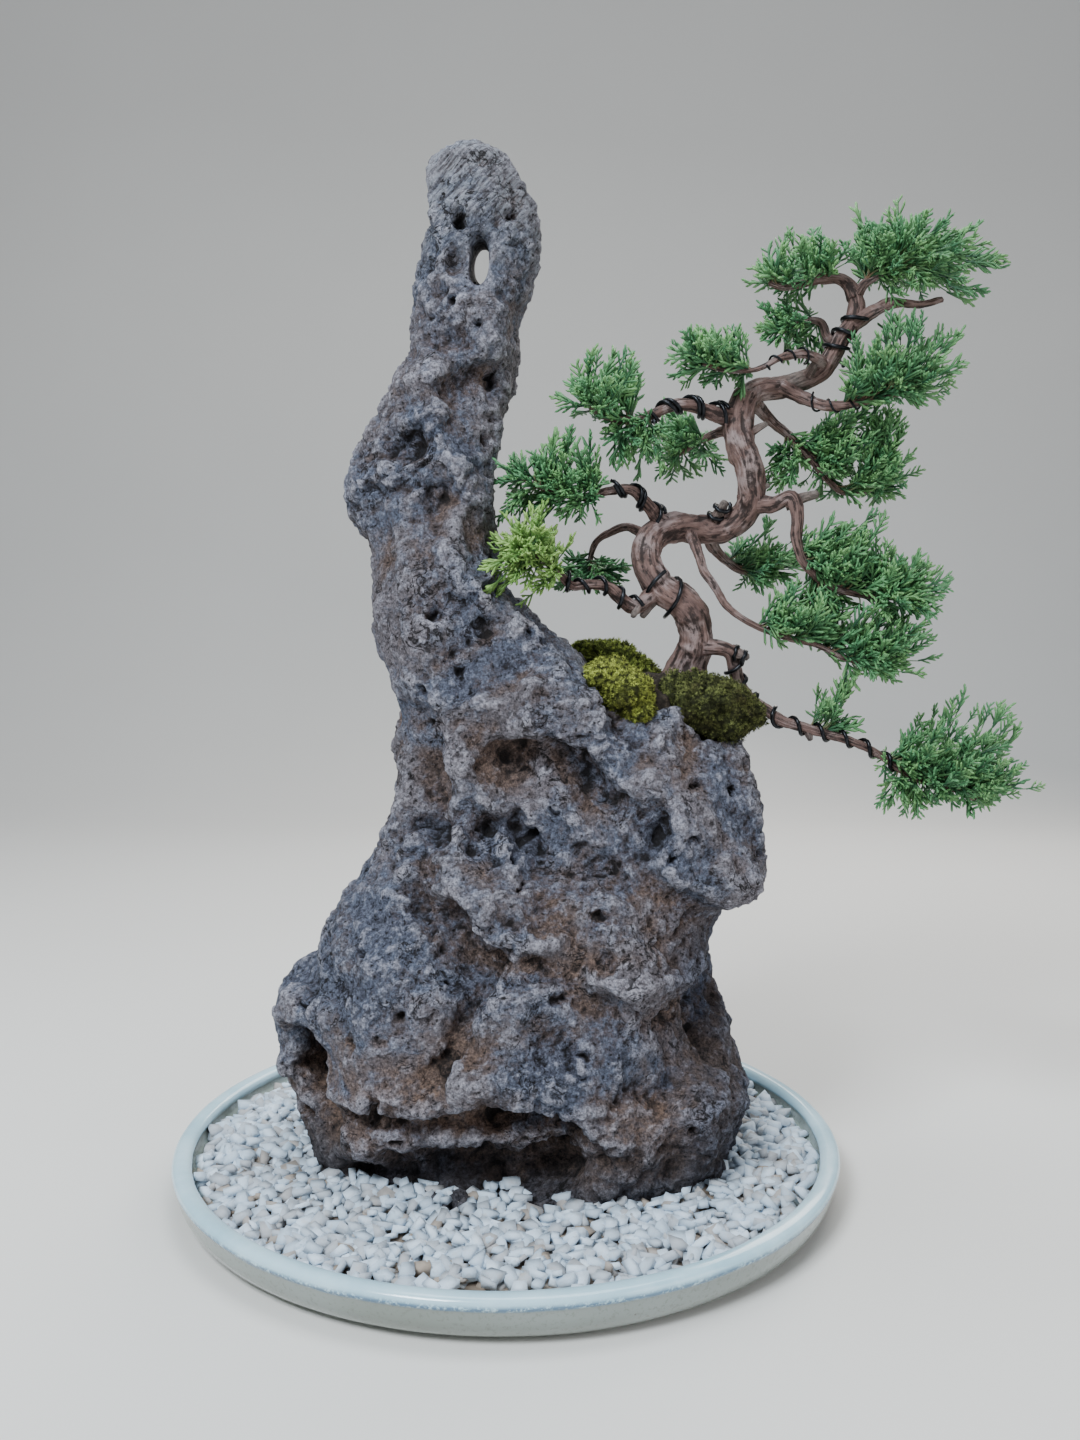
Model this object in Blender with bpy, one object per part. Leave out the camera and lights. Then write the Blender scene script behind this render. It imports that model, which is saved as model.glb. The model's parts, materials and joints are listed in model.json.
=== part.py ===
"""A juniper planted on a tall weathered rock that stands in crushed stone in a round glazed tray.

The origin is the centre of the tray's flat base, +Z is up, and the best side faces -Y.
Every length below is in millimetres, and mm() turns it into Blender's metres.
The rock's levels are heights above the tray's floor. The tree, its wires, the moss and the soil are
placed from the seat, the point where the trunk leaves the soil on the rock's shoulder.
"""

import math

import bmesh
import bpy
from mathutils import Matrix, Vector, noise

# Tray
TRAY_DIAMETER = 330.0
TRAY_HEIGHT = 22.0
TRAY_FOOT_INSET = 9.0
TRAY_FLOOR = 6.0
RIM_WIDTH = 10.0
RIM_DEPTH = 5.0
RIM_LIP = 1.6
WALL_THICKNESS = 7.0
WALL_SLOPE_RUN = 6.0
FOOT_ROUNDING = (5.0, 2.5)
BELLY_HEIGHT = 9.0
BELLY_DRAW_IN = 0.6
RIM_EDGE = 1.2
RIM_ROUNDING = 2.4
TRAY_SIDES = 56

# Crushed stone
GRAVEL_BELOW_RIM = 6.5
GRAVEL_CROWN = 2.5
GRAVEL_CROWN_RUN = 30.0
GRAVEL_WALL_INSET = 1.0

# Rock
ROCK_HEIGHT = 502.0
SHOULDER_HEIGHT = 212.0
ROCK_VOXEL = 5.0
ROCK_DETAIL = 0.115
HOLE_WIDTH = 9.0
HOLE_HEIGHT = 17.0
HOLE_PLACE = (-12.0, 1.81)
FOOT_CLEARANCE = 3.0

# Weathering of the rock: how far the crumbly and the scooped relief goes, and their fineness
CRUMBLE_DEPTH = 2.6
CRUMBLE_FINENESS = 28
SCOOP_DEPTH = 5.0
SCOOP_FINENESS = 42

# Tree
SEAT = (90.0, 3.0, 33.0)
TRUNK_DIAMETER = 15.0
ROOT_PLUG_DEPTH = 9.0
ROOT_PLUG_DIAMETER = 13.0

# Training wire
WIRE_DIAMETER = 2.0
FINE_WIRE_DIAMETER = 1.1
WIRE_TURN_POINTS = 6

GAP = 0.3
FOLIAGE_CLEARANCE = 0.6

# Each rock level: height, left edge, right edge, front edge, back edge, squareness of its outline.
# Levels under 1 are shares of the shoulder's height, and from 1 to 2 of the spire above it.
ROCK_LEVELS = (
    (0.000, -95, 104, -73, 62, 2.9),
    (0.060, -97, 108, -77, 66, 2.9),
    (0.120, -104, 113, -79, 68, 2.7),
    (0.200, -112, 117, -80, 68, 2.5),
    (0.270, -109, 114, -78, 66, 2.4),
    (0.340, -115, 111, -76, 64, 2.3),
    (0.430, -105, 105, -72, 62, 2.3),
    (0.510, -94, 100, -69, 60, 2.3),
    (0.590, -84, 99, -66, 58, 2.3),
    (0.650, -77, 108, -64, 57, 2.4),
    (0.700, -72, 127, -61, 56, 2.6),
    (0.780, -62, 125, -58, 53, 2.6),
    (0.870, -55, 128, -55, 51, 2.6),
    (0.940, -54, 123, -53, 49, 2.6),
    (1.000, -53, 115, -51, 47, 2.5),
    (1.035, -51, 95, -49, 45, 2.3),
    (1.075, -53, 62, -46, 42, 2.2),
    (1.120, -56, 42, -43, 39, 2.2),
    (1.170, -60, 31, -40, 36, 2.2),
    (1.215, -64, 15, -37, 34, 2.2),
    (1.270, -66, -2, -34, 31, 2.2),
    (1.330, -68, -10, -31, 29, 2.2),
    (1.390, -72, -10, -30, 27, 2.2),
    (1.440, -75, -9, -30, 26, 2.3),
    (1.500, -69, -6, -28, 25, 2.3),
    (1.560, -58, -3, -26, 24, 2.2),
    (1.615, -49, 2, -25, 24, 2.2),
    (1.680, -44, 8, -24, 24, 2.2),
    (1.750, -40, 12, -23, 23, 2.2),
    (1.850, -37, 15, -21, 21, 2.2),
    (1.930, -35, 12, -18, 18, 2.1),
    (1.975, -30, 6, -12, 12, 2.0),
    (2.000, -21, -3, -5, 5, 2.0),
)

# Ridges (positive) and hollows (negative) of the rock's face: points of level and x, width, height
ROCK_STROKES = (
    (((1.50, -2), (1.38, -11), (1.28, -15), (1.20, -17)), 9, 5),
    (((1.24, -11), (1.17, 22), (1.03, 48), (0.94, 67), (0.80, 90), (0.72, 111)), 13, 8),
    (((1.23, -48), (1.11, -38), (1.02, -46)), 11, 5),
    (((0.97, -2), (0.93, 37)), 15, -11),
    (((0.86, -12), (0.83, 16)), 13, -9),
    (((0.75, -24), (0.56, 19), (0.30, -11)), 12, 9),
    (((0.63, -47), (0.42, -54)), 24, 7),
    (((0.33, -88), (0.16, -91)), 13, -22),
    (((0.22, -64), (0.23, -20), (0.27, 25)), 7, -7),
    (((0.10, -45), (0.10, -4), (0.13, 25)), 12, -14),
    (((0.62, 97), (0.36, 96)), 12, -12),
    (((0.70, 44), (0.48, 62), (0.19, 85)), 14, 8),
    (((0.76, 46), (0.63, 70)), 14, -8),
    (((0.32, -11), (0.27, 43), (0.23, 88)), 10, 6),
    (((1.58, -26), (1.60, -2)), 7, -7),
    (((0.81, -34), (0.68, -32)), 11, -8),
)

# Trunk: place from the seat, share of TRUNK_DIAMETER
TRUNK = (
    ((-1, 1, 1), 1.36),
    ((1, 0, 6), 1.16),
    ((4, -3, 16), 1.10),
    ((1, -5, 29), 1.14),
    ((-6, -6, 37), 1.06),
    ((-15, -7, 43), 1.00),
    ((-20, -5, 52), 0.95),
    ((-21, -3, 61), 0.94),
    ((-17, 1, 69), 0.97),
    ((-7, 5, 73), 1.00),
    ((6, 7, 73), 0.98),
    ((17, 5, 73), 0.94),
    ((26, 1, 78), 0.94),
    ((30, -3, 86), 0.90),
    ((29, -6, 95), 0.87),
    ((27, -7, 104), 0.92),
    ((24, -6, 113), 0.98),
    ((23, -3, 123), 0.98),
    ((26, 1, 133), 0.90),
    ((33, 5, 140), 0.80),
    ((44, 7, 142), 0.74),
    ((55, 6, 145), 0.66),
    ((64, 3, 149), 0.61),
    ((69, 0, 156), 0.60),
    ((73, -2, 164), 0.56),
    ((78, -3, 171), 0.53),
    ((80, -3, 179), 0.51),
    ((79, -2, 185), 0.46),
)

# Branches: points from the seat, diameter at the root and at the tip. Each starts inside the trunk.
BRANCHES = {
    "low_left": (((-16, -7, 42), (-27, -15, 34), (-34, -18, 37), (-41, -20, 43), (-50, -23, 44),
                  (-57, -25, 43), (-61, -27, 45), (-66, -29, 50)), 7.4, 3.4),
    "inner": (((-18, 0, 67), (-25, 5, 72), (-31, 9, 74), (-39, 12, 71), (-45, 14, 67), (-48, 15, 59),
               (-48, 15, 54)), 5.0, 2.8),
    "mid_left": (((-9, 4, 73), (-15, -1, 77), (-21, -5, 83), (-29, -9, 90), (-38, -11, 90), (-47, -13, 88),
                  (-55, -14, 86), (-64, -15, 88)), 6.8, 3.2),
    "upper_left": (((23, -3, 126), (12, -8, 127), (1, -12, 130), (-8, -15, 130), (-16, -16, 127),
                    (-25, -18, 123), (-34, -19, 122), (-41, -19, 122)), 7.4, 4.4),
    "back_left": (((23, 0, 122), (16, 9, 121), (10, 15, 119), (5, 20, 117)), 5.6, 3.8),
    "high_left": (((66, 1, 152), (59, -7, 154), (53, -10, 155), (46, -12, 154), (40, -13, 152),
                   (33, -14, 148), (26, -15, 146)), 5.0, 2.8),
    "crown_low": (((72, -1, 161), (68, 5, 166), (66, 9, 174), (61, 11, 176), (56, 12, 175)), 4.8, 3.0),
    "crown_left": (((79, -2, 183), (76, -1, 190), (71, 0, 193), (64, 1, 193), (55, 1, 191), (46, 1, 189)),
                   6.2, 3.8),
    "crown_right": (((78, -3, 170), (86, -4, 175), (94, -5, 179), (101, -6, 180), (110, -7, 179)), 6.6, 4.0),
    "right_upper": (((46, 5, 142), (55, 0, 136), (63, -4, 132), (71, -7, 131), (80, -9, 132), (90, -11, 134)),
                    6.6, 3.6),
    "right_hang": (((30, 3, 137), (37, 11, 131), (45, 15, 125), (51, 17, 121), (58, 19, 115), (66, 20, 107),
                    (73, 19, 98), (80, 17, 92)), 6.0, 3.0),
    "right_mid": (((30, -2, 84), (40, -10, 83), (47, -14, 86), (50, -16, 78), (50, -16, 66), (53, -17, 56),
                   (59, -18, 49), (67, -19, 43), (77, -20, 40)), 8.0, 3.8),
    "back_right": (((8, 7, 73), (15, 17, 64), (22, 22, 58), (30, 26, 53)), 6.6, 4.4),
    "low_right": (((1, 3, 70), (3, -8, 61), (6, -12, 51), (11, -14, 44), (16, -16, 35), (24, -18, 28),
                   (36, -20, 22), (48, -21, 18), (60, -22, 15), (72, -23, 9)), 4.8, 2.8),
    "drop": (((3, -2, 14), (11, -8, 14), (19, -10, 12), (22, -6, 4), (25, -3, -4), (30, -5, -11),
              (38, -9, -17), (45, -15, -22), (55, -16, -25), (66, -17, -28), (77, -18, -31), (88, -19, -36),
              (98, -19, -43), (109, -20, -50)), 8.4, 3.6),
}

# Foliage pads: centre from the seat, half sizes, and the branches that pass into them
PADS = {
    "low_left": ((-77, -33, 58), (16, 21, 18), ("low_left",)),
    "inner": ((-47, 17, 53), (13, 14, 9), ("inner",)),
    "mid_left": ((-65, -16, 94), (25, 23, 14), ("mid_left",)),
    "upper_left": ((-44, -20, 133), (19, 23, 14), ("upper_left",)),
    "upper_left_low": ((-27, -18, 110), (13, 15, 9), ("upper_left",)),
    "back_left": ((0, 24, 114), (17, 18, 17), ("back_left",)),
    "high_left": ((11, -16, 150), (21, 20, 11), ("high_left",)),
    "crown_low": ((55, 15, 171), (16, 16, 11), ("crown_low",)),
    "crown_left": ((54, -1, 198), (23, 24, 14), ("crown_left",)),
    "crown_right": ((106, -8, 198), (31, 28, 22), ("crown_right",)),
    "right_upper": ((97, -13, 145), (27, 27, 20), ("right_upper",)),
    "right_hang": ((87, 19, 105), (28, 23, 20), ("right_hang",)),
    "right_mid": ((70, -17, 56), (16, 20, 15), ("right_mid",)),
    "right_mid_low": ((98, -21, 39), (17, 19, 11), ("right_mid",)),
    "back_right": ((43, 29, 58), (19, 21, 15), ("back_right",)),
    "low_right": ((50, -20, 27), (21, 18, 12), ("low_right",)),
    "low_right_end": ((89, -23, 11), (21, 19, 14), ("low_right",)),
    "drop": ((125, -20, -43), (38, 32, 28), ("drop",)),
    "drop_sprig": ((65, -17, -15), (11, 9, 6), ("drop",)),
    "back_small": ((50, 17, 105), (9, 10, 10), ()),
}

# Wires: branch wound (or trunk), start and end as shares of its route, turns, first angle in turns
WIRES = {
    "low_left": ("low_left", 0.26, 0.86, 4.0, 0.10, WIRE_DIAMETER),
    "mid_left": ("mid_left", 0.21, 0.54, 2.2, 0.00, WIRE_DIAMETER),
    "mid_left_second": ("mid_left", 0.21, 0.54, 2.2, 0.50, WIRE_DIAMETER),
    "upper_left": ("upper_left", 0.18, 0.56, 2.3, 0.00, WIRE_DIAMETER),
    "upper_left_second": ("upper_left", 0.18, 0.56, 2.3, 0.50, WIRE_DIAMETER),
    "high_left": ("high_left", 0.30, 0.66, 3.0, 0.00, FINE_WIRE_DIAMETER),
    "right_upper": ("right_upper", 0.36, 0.62, 2.5, 0.00, FINE_WIRE_DIAMETER),
    "drop": ("drop", 0.17, 0.80, 9.0, 0.00, WIRE_DIAMETER),
    "trunk_low": ("trunk", 0.115, 0.145, 1.5, 0.20, WIRE_DIAMETER),
    "trunk_high": ("trunk", 0.905, 0.918, 0.9, 0.20, WIRE_DIAMETER),
}

# Moss cushions and soil: centre from the seat and half sizes
MOSS = {
    "moss_back": ((-36, 18, 2), (25, 17, 14), -0.34),
    "moss_left": ((-37, -18, -7), (18, 27, 14), -0.50),
    "moss_right": ((7, -22, -15), (28, 17, 16), -0.22),
}
SOIL = ((-17, -2, -13), (37, 34, 14))

COLOURS = {
    "glaze": ((0.60, 0.70, 0.66), 0.22),
    "stone_chips": ((0.78, 0.77, 0.74), 0.85),
    "rock": ((0.17, 0.15, 0.15), 0.95),
    "soil": ((0.035, 0.028, 0.022), 1.0),
    "moss": ((0.16, 0.20, 0.03), 1.0),
    "bark": ((0.20, 0.12, 0.09), 0.8),
    "foliage": ((0.07, 0.19, 0.06), 0.7),
    "wire": ((0.02, 0.02, 0.022), 0.4),
}


def mm(value):
    return value * 0.001


def point(x, y, z):
    return Vector((mm(x), mm(y), mm(z)))


def level(share):
    """Height of a rock level, in millimetres above the tray's base."""
    low = min(share, 1.0) * SHOULDER_HEIGHT
    high = max(share - 1.0, 0.0) * (ROCK_HEIGHT - SHOULDER_HEIGHT - GAP)
    return TRAY_FLOOR + GAP + low + high


def seat(x, y, z):
    """A place on the tree or its soil, given from the seat."""
    return point(SEAT[0] + x, SEAT[1] + y, level(1.0) + SEAT[2] + z)


def clear_scene():
    for thing in list(bpy.data.objects):
        bpy.data.objects.remove(thing, do_unlink=True)


def material(name):
    found = bpy.data.materials.get(name)
    if found:
        return found
    colour, roughness = COLOURS[name]
    made = bpy.data.materials.new(name)
    made.use_nodes = True
    shader = made.node_tree.nodes["Principled BSDF"]
    shader.inputs["Base Color"].default_value = (*colour, 1.0)
    shader.inputs["Roughness"].default_value = roughness
    made.diffuse_color = (*colour, 1.0)
    return made


def new_object(name, shape, finish=None):
    mesh = bpy.data.meshes.new(name)
    bmesh.ops.recalc_face_normals(shape, faces=shape.faces)
    shape.to_mesh(mesh)
    shape.free()
    made = bpy.data.objects.new(name, mesh)
    bpy.context.scene.collection.objects.link(made)
    if finish:
        mesh.materials.append(material(finish))
        mesh.shade_smooth()
        mesh.set_sharp_from_angle(angle=math.radians(40))
    else:
        made.hide_render = True
        made.display_type = "WIRE"
    return made


def cut(target, cutter):
    modifier = target.modifiers.new("Cut_" + cutter.name, "BOOLEAN")
    modifier.operation = "DIFFERENCE"
    modifier.object = cutter


def loft(rings):
    """A closed body through rings of equal length, with a flat face at each end."""
    shape = bmesh.new()
    rows = [[shape.verts.new(place) for place in ring] for ring in rings]
    count = len(rows[0])
    for low, high in zip(rows, rows[1:]):
        for i in range(count):
            j = (i + 1) % count
            shape.faces.new((low[i], low[j], high[j], high[i]))
    shape.faces.new(rows[0])
    shape.faces.new(rows[-1])
    return shape


def turned(profile, sides):
    """A body turned round Z from its outline of (radius, height), which starts and ends on the axis."""
    shape = bmesh.new()
    rows = []
    for radius, height in profile:
        turns = sides if radius > 0 else 1
        angles = [2 * math.pi * i / turns for i in range(turns)]
        rows.append([shape.verts.new(point(radius * math.cos(a), radius * math.sin(a), height)) for a in angles])
    for low, high in zip(rows, rows[1:]):
        for i in range(sides):
            corners = [low[i % len(low)], low[(i + 1) % len(low)], high[(i + 1) % len(high)], high[i % len(high)]]
            shape.faces.new(list(dict.fromkeys(corners)))
    return shape


def smooth_route(points, steps):
    """Points along a Catmull-Rom curve through the given ones, with steps of them to each span."""
    ends = [2 * points[0] - points[1], *points, 2 * points[-1] - points[-2]]
    route = []
    for a, b, c, d in zip(ends, ends[1:], ends[2:], ends[3:]):
        for i in range(steps):
            t = i / steps
            route.append(0.5 * (2 * b + (c - a) * t + (2 * a - 5 * b + 4 * c - d) * t * t
                                + (3 * b - a - 3 * c + d) * t ** 3))
    return [*route, points[-1]]


def frames(route):
    """Tangent and one steady normal at each point of a route."""
    tangents = [(b - a).normalized() for a, b in zip([route[0], *route], [*route[1:], route[-1]])]
    normal = tangents[0].orthogonal().normalized()
    found = []
    for tangent in tangents:
        normal = (normal - tangent * normal.dot(tangent)).normalized()
        found.append((tangent, normal))
    return found


def tube(route, radii, sides):
    rings = []
    for centre, radius, (tangent, normal) in zip(route, radii, frames(route)):
        side = tangent.cross(normal)
        turns = [2 * math.pi * i / sides for i in range(sides)]
        rings.append([centre + radius * (math.cos(a) * normal + math.sin(a) * side) for a in turns])
    return loft(rings)


def trunk_route():
    return [seat(*place) for place, girth in TRUNK]


def trunk_radii(extra=0.0):
    return [mm(girth * TRUNK_DIAMETER / 2 + extra) for place, girth in TRUNK]


def branch_route(name, steps=1):
    return smooth_route([seat(*place) for place in BRANCHES[name][0]], steps)


def branch_radii(name, count, extra=0.0):
    places, root, tip = BRANCHES[name]
    return [mm((root + (tip - root) * i / (count - 1)) / 2 + extra) for i in range(count)]


def make_tray():
    outer = TRAY_DIAMETER / 2
    foot = outer - TRAY_FOOT_INSET
    inner = outer - RIM_WIDTH
    wall = outer - RIM_LIP - WALL_THICKNESS
    top = TRAY_HEIGHT
    under = top - RIM_DEPTH
    profile = [(0, 0), (foot, 0), (foot + FOOT_ROUNDING[0], FOOT_ROUNDING[1]),
               (outer - RIM_LIP - BELLY_DRAW_IN, BELLY_HEIGHT), (outer - RIM_LIP, under),
               (outer, under + RIM_EDGE), (outer - 0.5, top - RIM_EDGE), (outer - RIM_ROUNDING, top),
               (inner + RIM_ROUNDING, top), (inner + 0.4, top - RIM_EDGE), (inner, top - RIM_DEPTH * 0.7),
               (wall, under), (wall - WALL_SLOPE_RUN, TRAY_FLOOR), (0, TRAY_FLOOR)]
    return new_object("tray", turned(profile, TRAY_SIDES), "glaze")


def make_gravel(rock_foot):
    top = TRAY_HEIGHT - GRAVEL_BELOW_RIM
    floor = TRAY_FLOOR + GAP
    wall = TRAY_DIAMETER / 2 - RIM_LIP - WALL_THICKNESS - GRAVEL_WALL_INSET
    under = TRAY_HEIGHT - RIM_DEPTH
    slope = WALL_SLOPE_RUN / (under - TRAY_FLOOR)
    profile = [(0, floor), (wall - WALL_SLOPE_RUN - GAP, floor), (wall - slope * (under - top) - GAP, top),
               (wall - GRAVEL_CROWN_RUN, top + GRAVEL_CROWN), (0, top + GRAVEL_CROWN)]
    made = new_object("gravel_bed", turned(profile, TRAY_SIDES), "stone_chips")
    cut(made, rock_foot)
    return made


def level_ring(row, extra=0.0, points=30):
    share, left, right, front, back, power = row
    centre = ((left + right) / 2, (front + back) / 2)
    half = ((right - left) / 2 + extra, (back - front) / 2 + extra)
    ring = []
    for i in range(points):
        angle = 2 * math.pi * i / points
        c, s = math.cos(angle), math.sin(angle)
        reach = (abs(c) ** power + abs(s) ** power) ** (-1 / power)
        ring.append(point(centre[0] + half[0] * reach * c, centre[1] + half[1] * reach * s, level(share)))
    return ring


def stroke_height(place, stroke):
    """How far a ridge or hollow lifts the rock's face at a place, in millimetres."""
    points, width, height = stroke
    flat = Vector((place.x, place.z))
    corners = [Vector((mm(x), mm(level(share)))) for share, x in points]
    nearest = 1.0
    for a, b in zip(corners, corners[1:]):
        along = max(0.0, min(1.0, (flat - a).dot(b - a) / (b - a).length_squared))
        nearest = min(nearest, (flat - a.lerp(b, along)).length)
    return height * math.exp(-((nearest / mm(width)) ** 2))


def weather(rock):
    """Push the smooth rock out to ridges and in to scoops, less so in the crushed stone."""
    mesh = rock.data
    normals = [vertex.normal.copy() for vertex in mesh.vertices]
    buried = level(0.05)
    for vertex, normal in zip(mesh.vertices, normals):
        place = vertex.co.copy()
        face = max(0.0, -normal.y)
        relief = sum(stroke_height(place, stroke) for stroke in ROCK_STROKES) * face
        rough = noise.hetero_terrain(place * CRUMBLE_FINENESS, 1.0, 2.0, 5, 0.7) - 1.2
        scoops = noise.voronoi(place * SCOOP_FINENESS)[0][0] - 0.35
        free = max(0.0, min(1.0, (place.z * 1000 - buried) / 14))
        slim = 0.8 + 0.2 * min(1.0, max(0.0, level(1.15) - place.z * 1000) / 90)
        worn = CRUMBLE_DEPTH * rough + SCOOP_DEPTH * scoops
        vertex.co = place + normal * mm((relief + slim * worn) * free)


def make_rock():
    smooth = new_object("rock", loft([level_ring(row) for row in ROCK_LEVELS]), "rock")
    remesh = smooth.modifiers.new("Remesh", "REMESH")
    remesh.mode = "VOXEL"
    remesh.voxel_size = mm(ROCK_VOXEL)
    remesh.use_smooth_shade = True
    graph = bpy.context.evaluated_depsgraph_get()
    grid = bpy.data.meshes.new_from_object(smooth.evaluated_get(graph))
    smooth.modifiers.clear()
    smooth.data = grid
    weather(smooth)
    fewer = smooth.modifiers.new("Fewer", "DECIMATE")
    fewer.ratio = ROCK_DETAIL
    return smooth


def make_rock_foot_cutter():
    """The rock's buried foot, with clearance, as a prism through the crushed stone."""
    ring = level_ring(ROCK_LEVELS[1], extra=FOOT_CLEARANCE)
    heights = (TRAY_FLOOR / 2, TRAY_HEIGHT * 1.5)
    rings = [[Vector((p.x, p.y, mm(z))) for p in ring] for z in heights]
    return new_object("rock_foot_clearance", loft(rings))


def ellipsoid(centre, half, subdivisions, grow=0.0, turn=0.0):
    shape = bmesh.new()
    bmesh.ops.create_icosphere(shape, subdivisions=subdivisions, radius=1.0)
    size = Matrix.Diagonal([mm(h + grow) for h in half] + [1.0])
    bmesh.ops.transform(shape, verts=shape.verts, matrix=Matrix.Rotation(-turn, 4, "Y") @ size)
    bmesh.ops.translate(shape, verts=shape.verts, vec=centre)
    return shape


def make_trunk():
    made = new_object("trunk", tube(trunk_route(), trunk_radii(), 12), "bark")
    plug = [seat(-1, 1, 4), seat(-1, 1, -ROOT_PLUG_DEPTH)]
    plug_tube = tube(plug, [mm(ROOT_PLUG_DIAMETER / 2), mm(ROOT_PLUG_DIAMETER / 3)], 10)
    root = new_object("root_plug", plug_tube)
    join = made.modifiers.new("Root", "BOOLEAN")
    join.operation = "UNION"
    join.object = root
    clearance = new_object("trunk_clearance", tube(trunk_route(), trunk_radii(GAP), 12))
    socket = new_object("plug_clearance", tube([plug[0], plug[1] - point(0, 0, GAP)],
                        [mm(ROOT_PLUG_DIAMETER / 2 + GAP), mm(ROOT_PLUG_DIAMETER / 3 + GAP)], 10))
    return clearance, socket


def make_branch(name, trunk_clearance):
    route = branch_route(name)
    made = new_object("branch_" + name, tube(route, branch_radii(name, len(route)), 8), "bark")
    cut(made, trunk_clearance)
    slot = tube(route, branch_radii(name, len(route), FOLIAGE_CLEARANCE), 6)
    return new_object("clearance_" + name, slot)


def make_rock_clearance(rock):
    """The rock's surface moved out by the foliage's clearance, to keep foliage off the rock."""
    made = bpy.data.objects.new("rock_clearance", rock.data.copy())
    bpy.context.scene.collection.objects.link(made)
    made.hide_render = True
    fewer = made.modifiers.new("Fewer", "DECIMATE")
    fewer.ratio = ROCK_DETAIL
    grown = made.modifiers.new("Grown", "DISPLACE")
    grown.strength = mm(FOLIAGE_CLEARANCE)
    grown.mid_level = 0.0
    return made


def make_pad(name, slots, rock_clearance):
    centre, half, through = PADS[name]
    made = new_object("foliage_" + name, ellipsoid(seat(*centre), half, 2), "foliage")
    for branch in through:
        cut(made, slots[branch])
    cut(made, rock_clearance)


def make_wire(name):
    """A wire wound round its branch, as a helix that touches the bark all the way."""
    carrier, start, end, turns, first, diameter = WIRES[name]
    if carrier == "trunk":
        route = smooth_route(trunk_route(), 4)
        thick = [r for r in trunk_radii() for _ in range(4)][: len(route) - 1] + [trunk_radii()[-1]]
    else:
        route = branch_route(carrier, 4)
        thick = branch_radii(carrier, len(route))
    pairs = frames(route)
    count = int(turns * WIRE_TURN_POINTS) + 1
    places = []
    for i in range(count):
        share = start + (end - start) * i / (count - 1)
        where = share * (len(route) - 1)
        k = min(int(where), len(route) - 2)
        centre = route[k].lerp(route[k + 1], where - k)
        tangent = pairs[k][0].lerp(pairs[k + 1][0], where - k).normalized()
        normal = pairs[k][1].lerp(pairs[k + 1][1], where - k).normalized()
        angle = 2 * math.pi * (first + i / WIRE_TURN_POINTS)
        reach = (thick[k] + mm(diameter / 2 + GAP)) / math.cos(math.pi / WIRE_TURN_POINTS)
        places.append(centre + reach * (math.cos(angle) * normal + math.sin(angle) * tangent.cross(normal)))
    curve = bpy.data.curves.new("wire_" + name, "CURVE")
    curve.dimensions = "3D"
    curve.bevel_depth = mm(diameter / 2)
    curve.bevel_resolution = 1
    curve.use_fill_caps = True
    spline = curve.splines.new("POLY")
    spline.points.add(len(places) - 1)
    for slot, place in zip(spline.points, places):
        slot.co = (*place, 1.0)
    curve.materials.append(material("wire"))
    made = bpy.data.objects.new("wire_" + name, curve)
    bpy.context.scene.collection.objects.link(made)


def make_bed(rock, trunk_clearance, socket):
    """Soil in the rock's shoulder, moss on the soil, each let into what carries it."""
    centre, half = SOIL
    soil = new_object("soil", ellipsoid(seat(*centre), half, 3), "soil")
    cut(rock, new_object("soil_clearance", ellipsoid(seat(*centre), half, 3, GAP)))
    cut(soil, socket)
    cut(soil, trunk_clearance)
    earlier = []
    for name, (place, size, turn) in MOSS.items():
        cushion = new_object(name, ellipsoid(seat(*place), size, 3, 0.0, turn), "moss")
        clearance = new_object(name + "_clearance", ellipsoid(seat(*place), size, 3, GAP, turn))
        cut(rock, clearance)
        cut(soil, clearance)
        cut(cushion, trunk_clearance)
        for other in earlier:
            cut(cushion, other)
        earlier.append(clearance)


def main():
    clear_scene()
    make_tray()
    make_gravel(make_rock_foot_cutter())
    rock = make_rock()
    hole = ellipsoid(point(HOLE_PLACE[0], 0, level(HOLE_PLACE[1])), (HOLE_WIDTH / 2, 60, HOLE_HEIGHT / 2), 2)
    cut(rock, new_object("hole_through_spire", hole))
    trunk_clearance, socket = make_trunk()
    make_bed(rock, trunk_clearance, socket)
    slots = {name: make_branch(name, trunk_clearance) for name in BRANCHES}
    rock_clearance = make_rock_clearance(rock)
    for name in PADS:
        make_pad(name, slots, rock_clearance)
    for name in WIRES:
        make_wire(name)


main()
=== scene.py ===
"""Looks of a juniper planted on a weathered rock in a round glazed tray of crushed stone.

Sizes are in metres. Routes of the wood and the wires are given in millimetres from the seat, the
point where the trunk leaves the soil, and rock features in millimetres in the frame itself.
"""

import json
import math
import random

import bmesh
import bpy
import numpy as np
from mathutils import Matrix, Vector, kdtree, noise

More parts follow.
